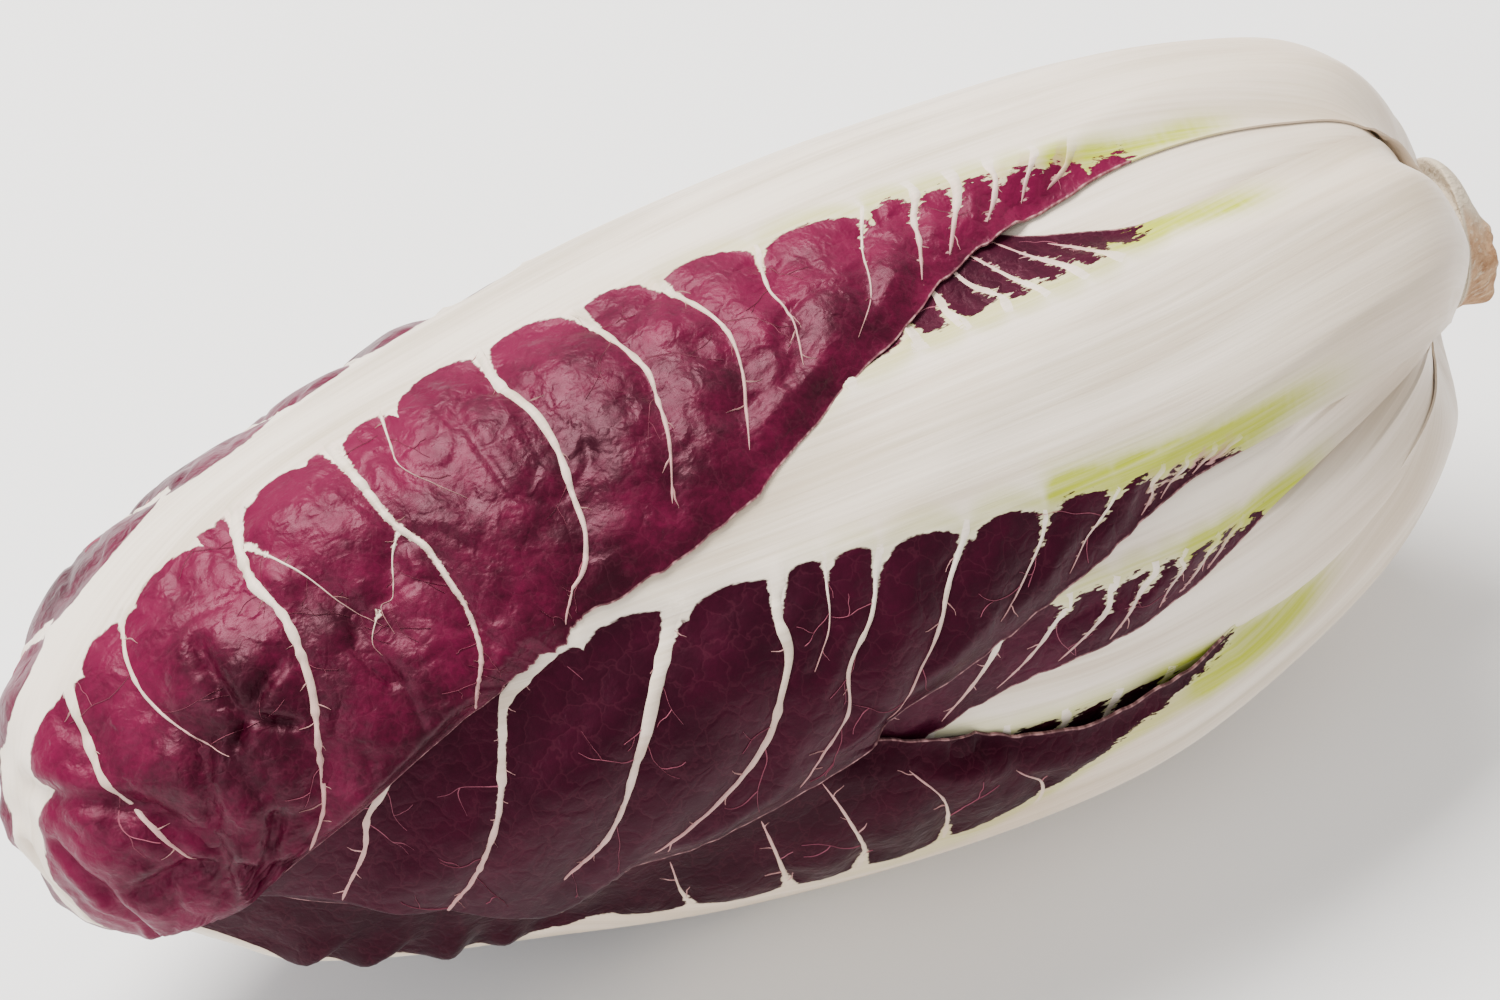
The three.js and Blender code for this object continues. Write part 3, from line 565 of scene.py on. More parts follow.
LONG_BRANCH_SHARE = 0.35
LONG_BRANCH = (4, 10)
SHORT_BRANCH = (0.9, 2.6)
LONG_BRANCH_WIDTH = (0.05, 0.09)
SHORT_BRANCH_WIDTH = (0.10, 0.18)
BRANCH_ANGLE = (28, 62)
FORK_ANGLE = (35, 70)
BRANCH_SPACING = (2, 5.5)


def side_veins(path, width, rng):
    """Fine veins that branch off a main vein to both sides, some of them once more."""
    branches = []
    at = rng.uniform(2, 5)
    side = rng.choice([-1, 1])
    flat = flat_path(path)
    while at < len(path) * PATH_STEP - 1:
        i = int(at / PATH_STEP)
        ahead = flat[min(i + 6, len(flat) - 1)] - flat[max(i - 6, 0)]
        heading = math.atan2(ahead[1], ahead[0]) + side * math.radians(rng.uniform(*BRANCH_ANGLE))
        long_one = rng.uniform() < LONG_BRANCH_SHARE
        length = rng.uniform(*(LONG_BRANCH if long_one else SHORT_BRANCH))
        thin = rng.uniform(*(LONG_BRANCH_WIDTH if long_one else SHORT_BRANCH_WIDTH)) * min(1, 0.5 + width)
        points, end_heading = twig(flat[i], heading, length, rng)
        branches.append((thin, points))
        if long_one:
            fork = flat_path(points)[3]
            turn = rng.choice([-1, 1]) * math.radians(rng.uniform(*FORK_ANGLE))
            branches.append((thin * 0.8, twig(fork, end_heading + turn, length * 0.45, rng)[0]))
        at += rng.uniform(*BRANCH_SPACING)
        side = -side
    return branches


def vein_width(width, share):
    """Half width along a vein, which tapers off to its end."""
    return width * (1.2 - 0.95 * share**0.75)


def line_tree(leaf, lines):
    """Search tree of samples of lines in space, with each sample's half width and share of the way."""
    spots, widths, runs, shares = [], [], [], []
    for (path, run, total), width in lines:
        spots.append(place(*to_envelope(leaf, path[:, 0], path[:, 1]), 0))
        widths.append(np.full(len(run), width))
        runs.append(run)
        shares.append(run / total)
    spots = np.concatenate(spots)
    tree = kdtree.KDTree(len(spots))
    for i, spot in enumerate(spots):
        tree.insert(spot, i)
    tree.balance()
    return tree, np.concatenate(widths), np.concatenate(runs), np.concatenate(shares)


def nearest_line(line_samples, spots):
    """Distance to the nearest line, and that line's width, run and share there."""
    tree, widths, runs, shares = line_samples
    found = [tree.find(spot) for spot in spots]
    index = np.array([f[1] for f in found])
    gap = np.array([f[2] for f in found])
    return gap, widths[index], runs[index], shares[index]


def hollow(gap, reach):
    """1 on a line, falling off softly to 0 away from it."""
    return np.exp(-(np.sqrt(gap**2 + 0.25) - 0.5) / reach)


LOBE_SHARE = 0.3


def scallop(leaf, distance, side):
    """How far the white reaches out, in millimetres: nothing in the middle of a red lobe, most at a vein."""
    starts = sorted(points[0][0] for _, points in leaf["all_veins"] if points[0][1] * side > 0)
    starts = np.array([starts[0] - 8] + starts + [starts[-1] + 10, leaf["length"] + 20])
    i = np.clip(np.searchsorted(starts, distance) - 1, 0, len(starts) - 2)
    span = starts[i + 1] - starts[i]
    u = np.clip((distance - starts[i]) / span, 0, 1)
    most = np.minimum(leaf["lobe"], LOBE_SHARE * span)
    return most * (1 - np.sqrt(np.clip(1 - (2 * u - 1) ** 2, 0, 1)))


# Creases of the top leaf, where its end is folded over the tip: half width of the groove, points.
TIP_CREASES = [
    (0.9, [(200, 3), (201, 13), (202, 17), (203, 20), (206, 23), (208, 25), (212, 25), (216, 22)]),
    (0.6, [(197, 27), (200, 27), (204, 27), (207, 26)]),
    (0.5, [(211, 15), (211, 21), (213, 26), (215, 28), (216, 31)]),
    (0.5, [(205, 8), (209, 11), (214, 11), (218, 9)]),
    (0.5, [(206, 1), (211, 3), (217, 5)]),
    (0.5, [(209, 33), (213, 30), (216, 26)]),
    (0.45, [(188, 35), (192, 33), (194, 32), (198, 31)]),
    (0.4, [(186, 24), (190, 28), (194, 32), (196, 38)]),
    (0.4, [(178, 44), (184, 47), (189, 52)]),
]
TIP_CREASE_DEPTH = 1.3


# Leaves
EDGE_START = 50
EDGE_WAVE, EDGE_WAVE_LENGTH = 0.9, 9
TOOTH, TOOTH_LENGTH = 0.35, 1.6
BULGE, BULGE_SIZE = 0.7, 12
SMALL_BULGE, SMALL_BULGE_SIZE = 0.25, 5
CREASE_DEPTH = 0.34
CREASE_WIDTH = 0.09
SMALL_CREASE_WIDTH = 0.10


def edge_wander(leaf, distance, side):
    """Small irregular teeth and waves of the leaf's edge, in millimetres."""
    line = np.column_stack([distance, 0 * distance, 0 * distance + 3.7])
    start = smooth((distance - EDGE_START) / 25)
    seed = leaf["seed"] + 400 + side
    teeth = TOOTH * noise(line, TOOTH_LENGTH, seed + 10)
    return start * (EDGE_WAVE * noise(line, EDGE_WAVE_LENGTH, seed) + teeth)


def edge_angles(leaf, distance):
    scale = mm_per_degree(distance)
    low = along(leaf["low"], distance) + edge_wander(leaf, distance, -1) / scale
    high = along(leaf["high"], distance) + edge_wander(leaf, distance, 1) / scale
    return low, high


def puckers(leaf, skin):
    """The relief of the blade between its veins: soft bulges parted by meandering creases."""
    crease = np.exp(-((noise(skin, 9, SEED + 21) / CREASE_WIDTH) ** 2))
    crease = crease + 0.7 * np.exp(-((noise(skin, 5.5, SEED + 22) / SMALL_CREASE_WIDTH) ** 2))
    bulge = noise(skin, BULGE_SIZE, SEED + 1) * BULGE + noise(skin, SMALL_BULGE_SIZE, SEED + 2) * SMALL_BULGE
    return lerp(0.3, 1, leaf["pucker"]) * bulge - CREASE_DEPTH * leaf["pucker"] * crease


# Relief of a leaf, in millimetres. CALM is the share of it that a leaf loses under others.
COVERED_DEPTH = 1.6
CALM = 0.85
RED_LEAD = 0.6
RED_SLOPE = 0.4
RIDGE_LENGTH = 70
RIDGE_WIDTH = 5.5
RIDGE_HEIGHT = 0.42
SWELL_SIZE = 22
SWELL_HEIGHT = 0.25
PUFF_HEIGHT = 0.85
PUFF_REACH = 2.6
FINE_PUFF_HEIGHT = 0.22
FINE_PUFF_REACH = 1.2
FRILL_RATE = 0.72
FRILL_START = 128
CRUMPLE_START = 188
VEIN_FLARE = 1.3
VEIN_FLARE_LENGTH = 2.5
PAINTED_SHEEN_REACH = 18


def leaf_surface(leaf, distance, angle):
    """Everything known about spots of a leaf: place on the envelope, relief and values for shading."""
    scale = mm_per_degree(distance)
    low, high = edge_angles(leaf, distance)
    arc, turn = to_envelope(leaf, distance, angle)
    skin = place(arc, turn, 0)
    base = read_field(leaf["depth"], arc, turn)
    covered = smooth(base / COVERED_DEPTH)
    across_mm = angle * scale

    edge = np.where(angle < 0, low, high)
    edge_mm = np.minimum((edge - np.abs(angle)) * scale, leaf["length"] - distance)
    draw_back = np.where(angle < 0, scallop(leaf, distance, -1), scallop(leaf, distance, 1))
    red_start = np.where(angle < 0, leaf["red"][0], leaf["red"][1])
    off_white = (np.abs(angle) - white_edge(leaf, distance, angle)) * scale
    rib_mm = off_white + RED_LEAD - draw_back
    red_mm = np.minimum(rib_mm, (distance - red_start) * RED_SLOPE)
    gap, width, run, share = nearest_line(leaf["main_tree"], skin)
    wide = vein_width(width, share) + width * VEIN_FLARE * np.exp(-run / VEIN_FLARE_LENGTH)
    fine_gap = nearest_line(leaf["fine_tree"], skin)[0]

    q, r = on_profile(profile_q, arc), on_profile(profile_r, arc)
    off_floor = smooth((skin_height(q, r, turn)[0] + BELLY_SOFTNESS) / BELLY_REACH)
    blade = smooth((rib_mm + 2) / 5)
    ridges = np.column_stack([distance / RIDGE_LENGTH, across_mm / RIDGE_WIDTH, 0 * distance + leaf["seed"]])
    ridge = noise(ridges, 1, SEED + 3) * RIDGE_HEIGHT + noise(skin, SWELL_SIZE, SEED + 4) * SWELL_HEIGHT
    puffed = PUFF_HEIGHT * (1 - hollow(gap, PUFF_REACH))
    puffed = puffed + FINE_PUFF_HEIGHT * (1 - hollow(fine_gap, FINE_PUFF_REACH))
    up = blade * (puffed + puckers(leaf, skin)) + (1 - blade) * ridge
    dip = BLADE_SINK * blade
    if "frill" in leaf:
        wave = np.sin(distance * FRILL_RATE + 2 * noise(skin, 11, SEED + 8))
        at_frill = smooth((distance - FRILL_START) / 10) * (angle < 0) * smooth((angle + 45) / 12)
        up = up + leaf["frill"] * wave * at_frill * blade
    if "creases" in leaf:
        crease_gap, crease_width = nearest_line(leaf["crease_tree"], skin)[:2]
        crumple = smooth((distance - CRUMPLE_START) / 14)
        up = up + crumple * (noise(skin, 4.5, SEED + 9) * 0.8 + noise(skin, 2.2, SEED + 10) * 0.3)
        up = up - TIP_CREASE_DEPTH * np.exp(-((crease_gap / (crease_width + 0.4)) ** 2))
    relief = dip - up * (1 - CALM * covered)
    below = read_field(leaf["below"], arc, turn) - base
    hug = np.clip(below - EDGE_BLADE - 0.1, 0, DEEPEST_HUG)
    hold = 1 - smooth(edge_mm / lerp(9, HUG_REACH, smooth((distance - 30) / 40)))
    if "gape" in leaf:
        hold = hold * np.where(angle < 0, 1 - along(leaf["gape"], distance), 1)
    relief = lerp(np.minimum(relief, hug), hug, hold) * off_floor
    # Painted light: the blade is painted brighter near the rib on the side that faces the light, fading away
    # from it.
    near_rib = 1 - smooth(off_white / PAINTED_SHEEN_REACH)
    painted_sheen = np.where(angle < 0, *leaf.get("painted_sheen", (0, 0))) * near_rib
    return dict(
        arc=arc, turn=turn, depth=base + relief, floor_dip=base + dip * off_floor, angle=angle, painted_sheen=painted_sheen,
        cord=off_floor * (1 - CALM * covered),
        blade_mm=np.minimum(red_mm, gap - wide + 0.35 * smooth(run / 8)), share=share * (gap < wide + 1),
        edge_mm=edge_mm, across_mm=across_mm, distance=distance,
    )


VALUE_KEYS = ("blade_mm", "edge_mm", "share", "across_mm", "distance", "angle", "painted_sheen")


def quads_of(grid):
    """Faces between the rows and columns of a grid of point numbers."""
    return np.stack([grid[:-1, :-1], grid[:-1, 1:], grid[1:, 1:], grid[1:, :-1]], -1).reshape(-1, 4)


def closed_round(grid):
    """A grid of point numbers with its first column repeated at the end."""
    return np.column_stack([grid, grid[:, 0]])


INNER_COLUMNS = 16
ROW_EASE = 0.15


def leaf_sheet(leaf):
    """Closed mesh of a leaf: a fine outer face, a plainer inner face, and the rim between them."""
    rows, columns = leaf["grid"]
    t = np.linspace(0, 1, rows + 1)
    walk = lerp(COLLAR, leaf["length"], lerp(t, smooth(t), ROW_EASE))
    low, high = edge_angles(leaf, walk)

    def spots(count):
        across = np.linspace(-1, 1, count + 1)
        angles = np.where(across < 0, across * low[:, None], across * high[:, None])
        distances = np.broadcast_to(walk[:, None], angles.shape)
        return leaf_surface(leaf, distances.ravel(), angles.ravel())

    outer, inner = spots(columns), spots(INNER_COLUMNS)
    gauge = thickness(leaf, inner["distance"], inner["angle"])
    gauge = lerp(EDGE_BLADE, gauge, smooth(inner["edge_mm"] / HUG_REACH))
    inner_depth = np.maximum(inner["depth"], inner["floor_dip"] * (inner["edge_mm"] > HUG_REACH)) + gauge
    points = np.vstack([place(outer["arc"], outer["turn"], outer["depth"]),
                        place(inner["arc"], inner["turn"], inner_depth)])
    first = (rows + 1) * (columns + 1)
    out = np.arange(first).reshape(rows + 1, columns + 1)
    inn = first + np.arange((rows + 1) * (INNER_COLUMNS + 1)).reshape(rows + 1, INNER_COLUMNS + 1)
    quads = [quads_of(out), quads_of(inn)[:, [0, 3, 2, 1]],
             np.stack([out[:-1, 0], out[1:, 0], inn[1:, 0], inn[:-1, 0]], -1),
             np.stack([out[:-1, -1], inn[:-1, -1], inn[1:, -1], out[1:, -1]], -1)]
    faces = np.concatenate(quads).tolist()
    faces.append(out[0, ::-1].tolist() + inn[0].tolist())
    faces.append(out[-1].tolist() + inn[-1, ::-1].tolist())
    values = {key: np.concatenate([outer[key], inner[key]]) for key in VALUE_KEYS}
    return points, faces, values


# Cross-section of a vein: offset in half widths, and height in its own height. A share above 1 marks the fine
# veins for their own colour, and the thickest of them, the short spurs, take the main veins' colour.
MAIN_SECTION = [(-1, -0.3), (-0.6, 0.75), (0, 1), (0.6, 0.75), (1, -0.3)]
FINE_SECTION = [(-1, -0.3), (0, 1), (1, -0.3)]
VEIN_BASE_HEIGHT = 0.10
VEIN_ROUNDNESS = 0.4
VEIN_EMERGES = 5
THINNEST_VEIN = 0.035
FINE_VEIN_SHARE = 2.0
SPUR_SHARE = 0.9
SPUR_WIDTH = (0.08, 0.12)


def vein_cord(leaf, path, run, total, width, section, fine):
    """Closed mesh of one vein that lies on the leaf's outer face."""
    share = run / total
    uneven = 1 + 0.35 * noise(np.column_stack([run, 0 * run, 0 * run + total]), 1.3, SEED + 13)
    half = vein_width(width, share) * uneven * np.minimum(1, (total - run) / 1.2 + 0.3)
    half = np.maximum(half, THINNEST_VEIN)
    flat = flat_path(path)
    ahead = np.gradient(flat, axis=0)
    ahead /= np.linalg.norm(ahead, axis=1)[:, None]
    offset, rise = np.array(section).T
    along_mm = flat[:, :1] - ahead[:, 1:] * half[:, None] * offset
    across_mm = flat[:, 1:] + ahead[:, :1] * half[:, None] * offset
    distance = along_mm.ravel()
    surface = leaf_surface(leaf, distance, across_mm.ravel() / mm_per_degree(distance))
    emerging = 1 if fine else smooth(run / VEIN_EMERGES)[:, None]
    height = (VEIN_BASE_HEIGHT + VEIN_ROUNDNESS * half)[:, None] * rise * emerging
    points = place(surface["arc"], surface["turn"], surface["depth"] - height.ravel() * surface["cord"])
    count = len(section)
    grid = np.arange(len(run) * count).reshape(len(run), count)
    faces = quads_of(closed_round(grid)).tolist() + [grid[0, ::-1].tolist(), grid[-1].tolist()]
    values = {key: surface[key] for key in VALUE_KEYS}
    values["blade_mm"] = np.full(len(points), -9.0)
    spur = smooth((width - SPUR_WIDTH[0]) / (SPUR_WIDTH[1] - SPUR_WIDTH[0]))
    fine_share = np.full(len(points), lerp(FINE_VEIN_SHARE, SPUR_SHARE, spur))
    values["share"] = fine_share if fine else np.repeat(share, count)
    return points, faces, values


def joined(parts):
    """Several meshes as one."""
    points, faces, values, first = [], [], [], 0
    for some_points, some_faces, some_values in parts:
        points.append(some_points)
        faces += [[first + i for i in face] for face in some_faces]
        values.append(some_values)
        first += len(some_points)
    return np.vstack(points), faces, {key: np.concatenate([v[key] for v in values]) for key in VALUE_KEYS}


def add_to_scene(name, data):
    thing = bpy.data.objects.new(name, data)
    bpy.context.scene.collection.objects.link(thing)
    return thing


def make_object(name, points, faces, values, material):
    mesh = bpy.data.meshes.new(name)
    mesh.from_pydata((points * MM).tolist(), [], faces)
    for key in ("blade_mm", "edge_mm", "share", "green", "tan", "distance", "painted_sheen"):
        if key in values:
            mesh.attributes.new(key, "FLOAT", "POINT").data.foreach_set("value", values[key].astype("f"))
    if "across_mm" in values:
        spots = np.column_stack([values["distance"], values["across_mm"], 0 * values["distance"]])
        layer = mesh.attributes.new("leaf_mm", "FLOAT_VECTOR", "POINT")
        layer.data.foreach_set("vector", spots.astype("f").ravel())
    mesh.polygons.foreach_set("use_smooth", [True] * len(mesh.polygons))
    mesh.set_sharp_from_angle(angle=math.radians(70))
    mesh.materials.append(material)
    mesh.update()
    return add_to_scene(name, mesh)


# Materials
class Nodes:
    """Short calls that add shader nodes to a new material."""

    def __init__(self, name):
        self.material = bpy.data.materials.new(name)
        self.material.use_nodes = True
        self.tree = self.material.node_tree
        self.shader = self.tree.nodes["Principled BSDF"]

    def add(self, kind, inputs=(), **settings):
        node = self.tree.nodes.new(kind)
        for key, value in settings.items():
            setattr(node, key, value)
        for key, value in dict(inputs).items():
            self.put(node.inputs[key], value)
        return node

    def put(self, socket, value):
        if isinstance(value, bpy.types.NodeSocket):
            self.tree.links.new(value, socket)
        else:
            socket.default_value = value

    def value(self, name):
        return self.add("ShaderNodeAttribute", attribute_name=name).outputs["Fac"]

    def vector(self, name):
        return self.add("ShaderNodeAttribute", attribute_name=name).outputs["Vector"]

    def math(self, operation, a, b, c=0.0):
        return self.add("ShaderNodeMath", {0: a, 1: b, 2: c}, operation=operation).outputs[0]

    def times(self, a, b):
        return self.math("MULTIPLY", a, b)

    def times_plus(self, a, b, c):
        """a times b, plus c."""
        return self.math("MULTIPLY_ADD", a, b, c)

    def place_mm(self):
        """The place on the object in millimetres."""
        return self.scaled(self.add("ShaderNodeTexCoord").outputs["Object"], (1000, 1000, 1000))

    def scaled(self, vector, factors):
        node = self.add("ShaderNodeVectorMath", {0: vector, 1: factors}, operation="MULTIPLY")
        return node.outputs[0]

    def noise(self, vector, scale, detail, roughness=0.5):
        node = self.add("ShaderNodeTexNoise", {"Vector": vector, "Scale": scale, "Detail": detail,
                                               "Roughness": roughness})
        return node.outputs["Fac"]

    def cells(self, vector, scale):
        """Distance to the nearest border of a pattern of cells."""
        inputs = {"Vector": vector, "Scale": scale}
        node = self.add("ShaderNodeTexVoronoi", inputs, feature="DISTANCE_TO_EDGE")
        return node.outputs["Distance"]

    def step(self, value, low, high):
        node = self.add("ShaderNodeMapRange", {"Value": value, "From Min": low, "From Max": high},
                        interpolation_type="SMOOTHSTEP")
        return node.outputs["Result"]

    def fall(self, value, high, low):
        """1 up to high, falling to 0 at low."""
        return self.math("SUBTRACT", 1.0, self.step(value, high, low))

    def mix(self, factor, a, b):
        node = self.add("ShaderNodeMix", data_type="RGBA")
        self.put(node.inputs[0], factor)
        self.put(node.inputs[6], a)
        self.put(node.inputs[7], b)
        return node.outputs[2]

    def bump(self, height, depth, strength, normal=None):
        inputs = {"Height": height, "Distance": depth * MM, "Strength": strength}
        if normal is not None:
            inputs["Normal"] = normal
        return self.add("ShaderNodeBump", inputs).outputs["Normal"]


WHITE = (0.88, 0.78, 0.66, 1)
# The white in painted shade, for darker bands along the rib, partly its own grey-tan streaks.
WHITE_SHADE = (0.62, 0.52, 0.39, 1)
# The white in painted shade at the root end, with the root's own warmer tone.
ROOT_SHADE = (0.60, 0.48, 0.34, 1)
# Tan: the top leaf's own tan near the root, and also painted shade on the underside leaf's low white strip.
TAN_AND_SHADE = (0.70, 0.48, 0.30, 1)
GREEN = (0.42, 0.48, 0.008, 1)
VEIN_PINK = (0.46, 0.24, 0.23, 1)
FINE_PINK = (0.26, 0.070, 0.105, 1)
EDGE_PINK = (0.42, 0.22, 0.22, 1)
NET_PINK = (0.16, 0.04, 0.06, 1)
SHEEN_TINT = (1, 0.42, 0.55, 1)


def leaf_material(leaf):
    n = Nodes("skin_" + leaf["name"])
    spot = n.vector("leaf_mm")
    place_mm = n.place_mm()
    near_root = n.fall(n.value("distance"), 70, 100)
    streaky = n.math("SUBTRACT", n.noise(n.scaled(spot, (0.45, 1.5, 1)), 1.0, 4, 0.6), 0.5)
    speckle = n.math("SUBTRACT", n.noise(place_mm, 1.1, 4, 0.6), 0.5)
    jitter = n.times(streaky, n.times_plus(near_root, 3.4, 1.0))
    jitter = n.times_plus(speckle, 0.4, jitter)
    blade = n.step(n.math("ADD", n.value("blade_mm"), jitter), -0.10, 0.16)

    mottle = n.noise(place_mm, 0.10, 5, 0.6)
    grain = n.noise(place_mm, 1.4, 4, 0.65)
    tone = n.times_plus(grain, 0.25, n.times(mottle, 0.8))
    # Painted light: the tone is raised near the rib where the blade faces the light.
    tone = n.times_plus(n.value("painted_sheen"), 0.28, tone)
    wine = n.mix(n.step(tone, 0.38, 0.86), leaf["dark"] + (1,), leaf["bright"] + (1,))
    shift = n.add("ShaderNodeTexNoise", {"Vector": place_mm, "Scale": 0.35, "Detail": 3.0}).outputs["Color"]
    bent = n.add("ShaderNodeVectorMath", {0: n.scaled(shift, (4, 4, 4)), 1: place_mm}, operation="ADD")
    net = n.cells(bent.outputs[0], 0.36)
    net_line = n.fall(net, 0.0, 0.05)
    wine = n.mix(n.times(net_line, 0.08), wine, NET_PINK)

    # Painted shade on the white: broad bands and blotches darken it, together with its own fine fibre
    # streaks.
    fibre = n.noise(n.scaled(spot, (0.04, 1.5, 1)), 1.0, 4, 0.6)
    band = n.noise(n.scaled(spot, (0.012, 0.16, 1)), 1.0, 2, 0.5)
    shade_blotch = n.noise(place_mm, 0.03, 3, 0.5)
    streaks_and_shade = n.times_plus(band, 0.5, n.times(shade_blotch, 0.25))
    streaks_and_shade = n.times_plus(fibre, 0.25, streaks_and_shade)
    cream = n.mix(n.step(streaks_and_shade, 0.40, 0.64), WHITE, WHITE_SHADE)
    # Painted shade with the root's own warmer tone: the white darkens towards the root end.
    at_root = n.fall(n.value("distance"), 5, 75)
    cream = n.mix(n.times(at_root, 0.5), cream, ROOT_SHADE)
    # The tan attribute brings the top leaf's own tan near the root, and painted shade on the underside leaf's
    # low strip.
    cream = n.mix(n.value("tan"), cream, TAN_AND_SHADE)
    tint = n.times(n.value("green"), n.times_plus(n.step(fibre, 0.25, 0.7), 0.3, 0.7))
    cream = n.mix(tint, cream, GREEN)
    cream = n.mix(n.step(n.value("share"), 0.05, 0.95), cream, VEIN_PINK)
    cream = n.mix(n.step(n.value("share"), 1.2, 1.8), cream, FINE_PINK)
    colour = n.mix(blade, cream, wine)
    edge_line = n.fall(n.value("edge_mm"), 0.08, 0.28)
    teeth = n.step(n.noise(n.scaled(spot, (0.8, 0, 0)), 1.0, 2), 0.45, 0.62)
    edge_line = n.times(edge_line, n.times_plus(teeth, 0.7, 0.2))
    colour = n.mix(n.times(edge_line, blade), colour, EDGE_PINK)
    n.put(n.shader.inputs["Base Color"], colour)

    rough = n.times_plus(n.noise(place_mm, 0.5, 3), 0.3, 0.24)
    n.put(n.shader.inputs["Roughness"], rough)
    n.put(n.shader.inputs["Specular IOR Level"], n.times_plus(blade, leaf["gloss"] - 0.3, 0.3))
    n.shader.inputs["Specular Tint"].default_value = SHEEN_TINT
    normal = n.bump(n.times(grain, n.times_plus(blade, 0.8, 0.2)), 0.07, 0.8)
    normal = n.bump(n.times(n.step(net, 0.0, 0.25), blade), 0.06, 0.6, normal)
    crinkle = n.step(n.cells(bent.outputs[0], 0.17), 0.0, 0.35)
    normal = n.bump(n.times(crinkle, blade), 0.17 * leaf["pucker"] + 0.04, 0.7, normal)
    normal = n.bump(n.times(fibre, n.math("SUBTRACT", 1.0, blade)), 0.12, 0.6, normal)
    n.put(n.shader.inputs["Normal"], normal)
    return n.material


def streak_values(leaf, distance, angle):
    """Yellow-green along the streaks that run from the blade's start towards the root."""
    scale = mm_per_degree(distance)
    green = 0 * distance
    for width, points in leaf.get("streaks", []):
        path = vein_path(points, 1.5)[0]
        for (at, where), share in zip(path, np.linspace(0, 1, len(path))):
            gap = np.hypot(distance - at, (angle - where) * scale)
            strength = smooth(share * 2.5) * (1 - 0.3 * share)
            green = np.maximum(green, strength * np.exp(-((gap / width) ** 2)))
    return green


def make_leaf(leaf):
    leaf["seed"] = SEED + round(leaf["turn"]) % 360
    rng = np.random.default_rng(leaf["seed"] + 100)
    leaf["all_veins"] = leaf_veins(leaf)
    main, fine = [], []
    for width, points in leaf["all_veins"]:
        line = cut_back(leaf, vein_path(points), MAIN_EDGE_ROOM)
        main.append((line, width))
        for thin, branch in side_veins(line[0], width, rng):
            side_line = cut_back(leaf, vein_path(branch), FINE_EDGE_ROOM, FINE_RIB_ROOM)
            if side_line:
                fine.append((side_line, thin))
    leaf["main_tree"] = line_tree(leaf, main)
    leaf["fine_tree"] = line_tree(leaf, fine)
    if "creases" in leaf:
        creases = [(vein_path(points), width) for width, points in leaf["creases"]]
        leaf["crease_tree"] = line_tree(leaf, creases)
    parts = [leaf_sheet(leaf)]
    parts += [vein_cord(leaf, *line, width, MAIN_SECTION, False) for line, width in main]
    parts += [vein_cord(leaf, *line, width, FINE_SECTION, True) for line, width in fine]
    points, faces, values = joined(parts)
    distance, angle = values["distance"], values["angle"]
    fringe = (1 - smooth(np.abs(values["blade_mm"] + 0.9) / 3)) * smooth((distance - 48) / 12)
    fringe = fringe * (1 - smooth((distance - 80) / 40))
    values["green"] = np.clip(1.25 * streak_values(leaf, distance, angle) + 0.6 * fringe, 0, 1)
    root_tan = 0.6 * np.exp(-((distance - 26) / 17) ** 2 - ((angle + 12) / 15) ** 2) * leaf.get("tan", 0)
    # Painted shade: the underside leaf's low white strip is darkened towards tan.
    strip_painted_shade = leaf.get("low_painted_shade", 0) * smooth((distance - 60) / 30) * (angle < 0)
    values["tan"] = root_tan + strip_painted_shade
    piece = make_object(leaf["name"] + "_skin", points, faces, values, leaf_material(leaf))
    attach(piece, "root")
    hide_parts(leaf["name"])


TOP_LEAF, UNDERSIDE_LEAF = LEAVES[0], LEAVES[2]
TOP_LEAF["creases"] = TIP_CREASES
TOP_LEAF["tan"] = 1
UNDERSIDE_LEAF["frill"] = 1.1
for leaf in LEAVES:
    make_leaf(leaf)


# Heart: packed inner leaves as overlapping steps that twist round a core.
HEART_START = 38
HEART_END = 190
HEART_TIP_DROP = 3
HEART_BASE = 19.5
HEART_LEAVES = 5
HEART_RELIEF = 1.6


def heart_material():
    n = Nodes("packed_heart")
    place_mm = n.place_mm()
    root = n.step(n.value("distance"), 40, 95)
    fibre = n.noise(n.scaled(place_mm, (0.05, 1.0, 1.0)), 1.0, 4)
    pale = n.mix(fibre, (0.34, 0.36, 0.10, 1), (0.60, 0.58, 0.38, 1))
    wine = n.mix(n.noise(place_mm, 0.3, 3), (0.030, 0.004, 0.012, 1), (0.090, 0.010, 0.030, 1))
    n.put(n.shader.inputs["Base Color"], n.mix(root, pale, wine))
    n.shader.inputs["Roughness"].default_value = 0.55
    n.put(n.shader.inputs["Normal"], n.bump(fibre, 0.6, 0.7))
    return n.material


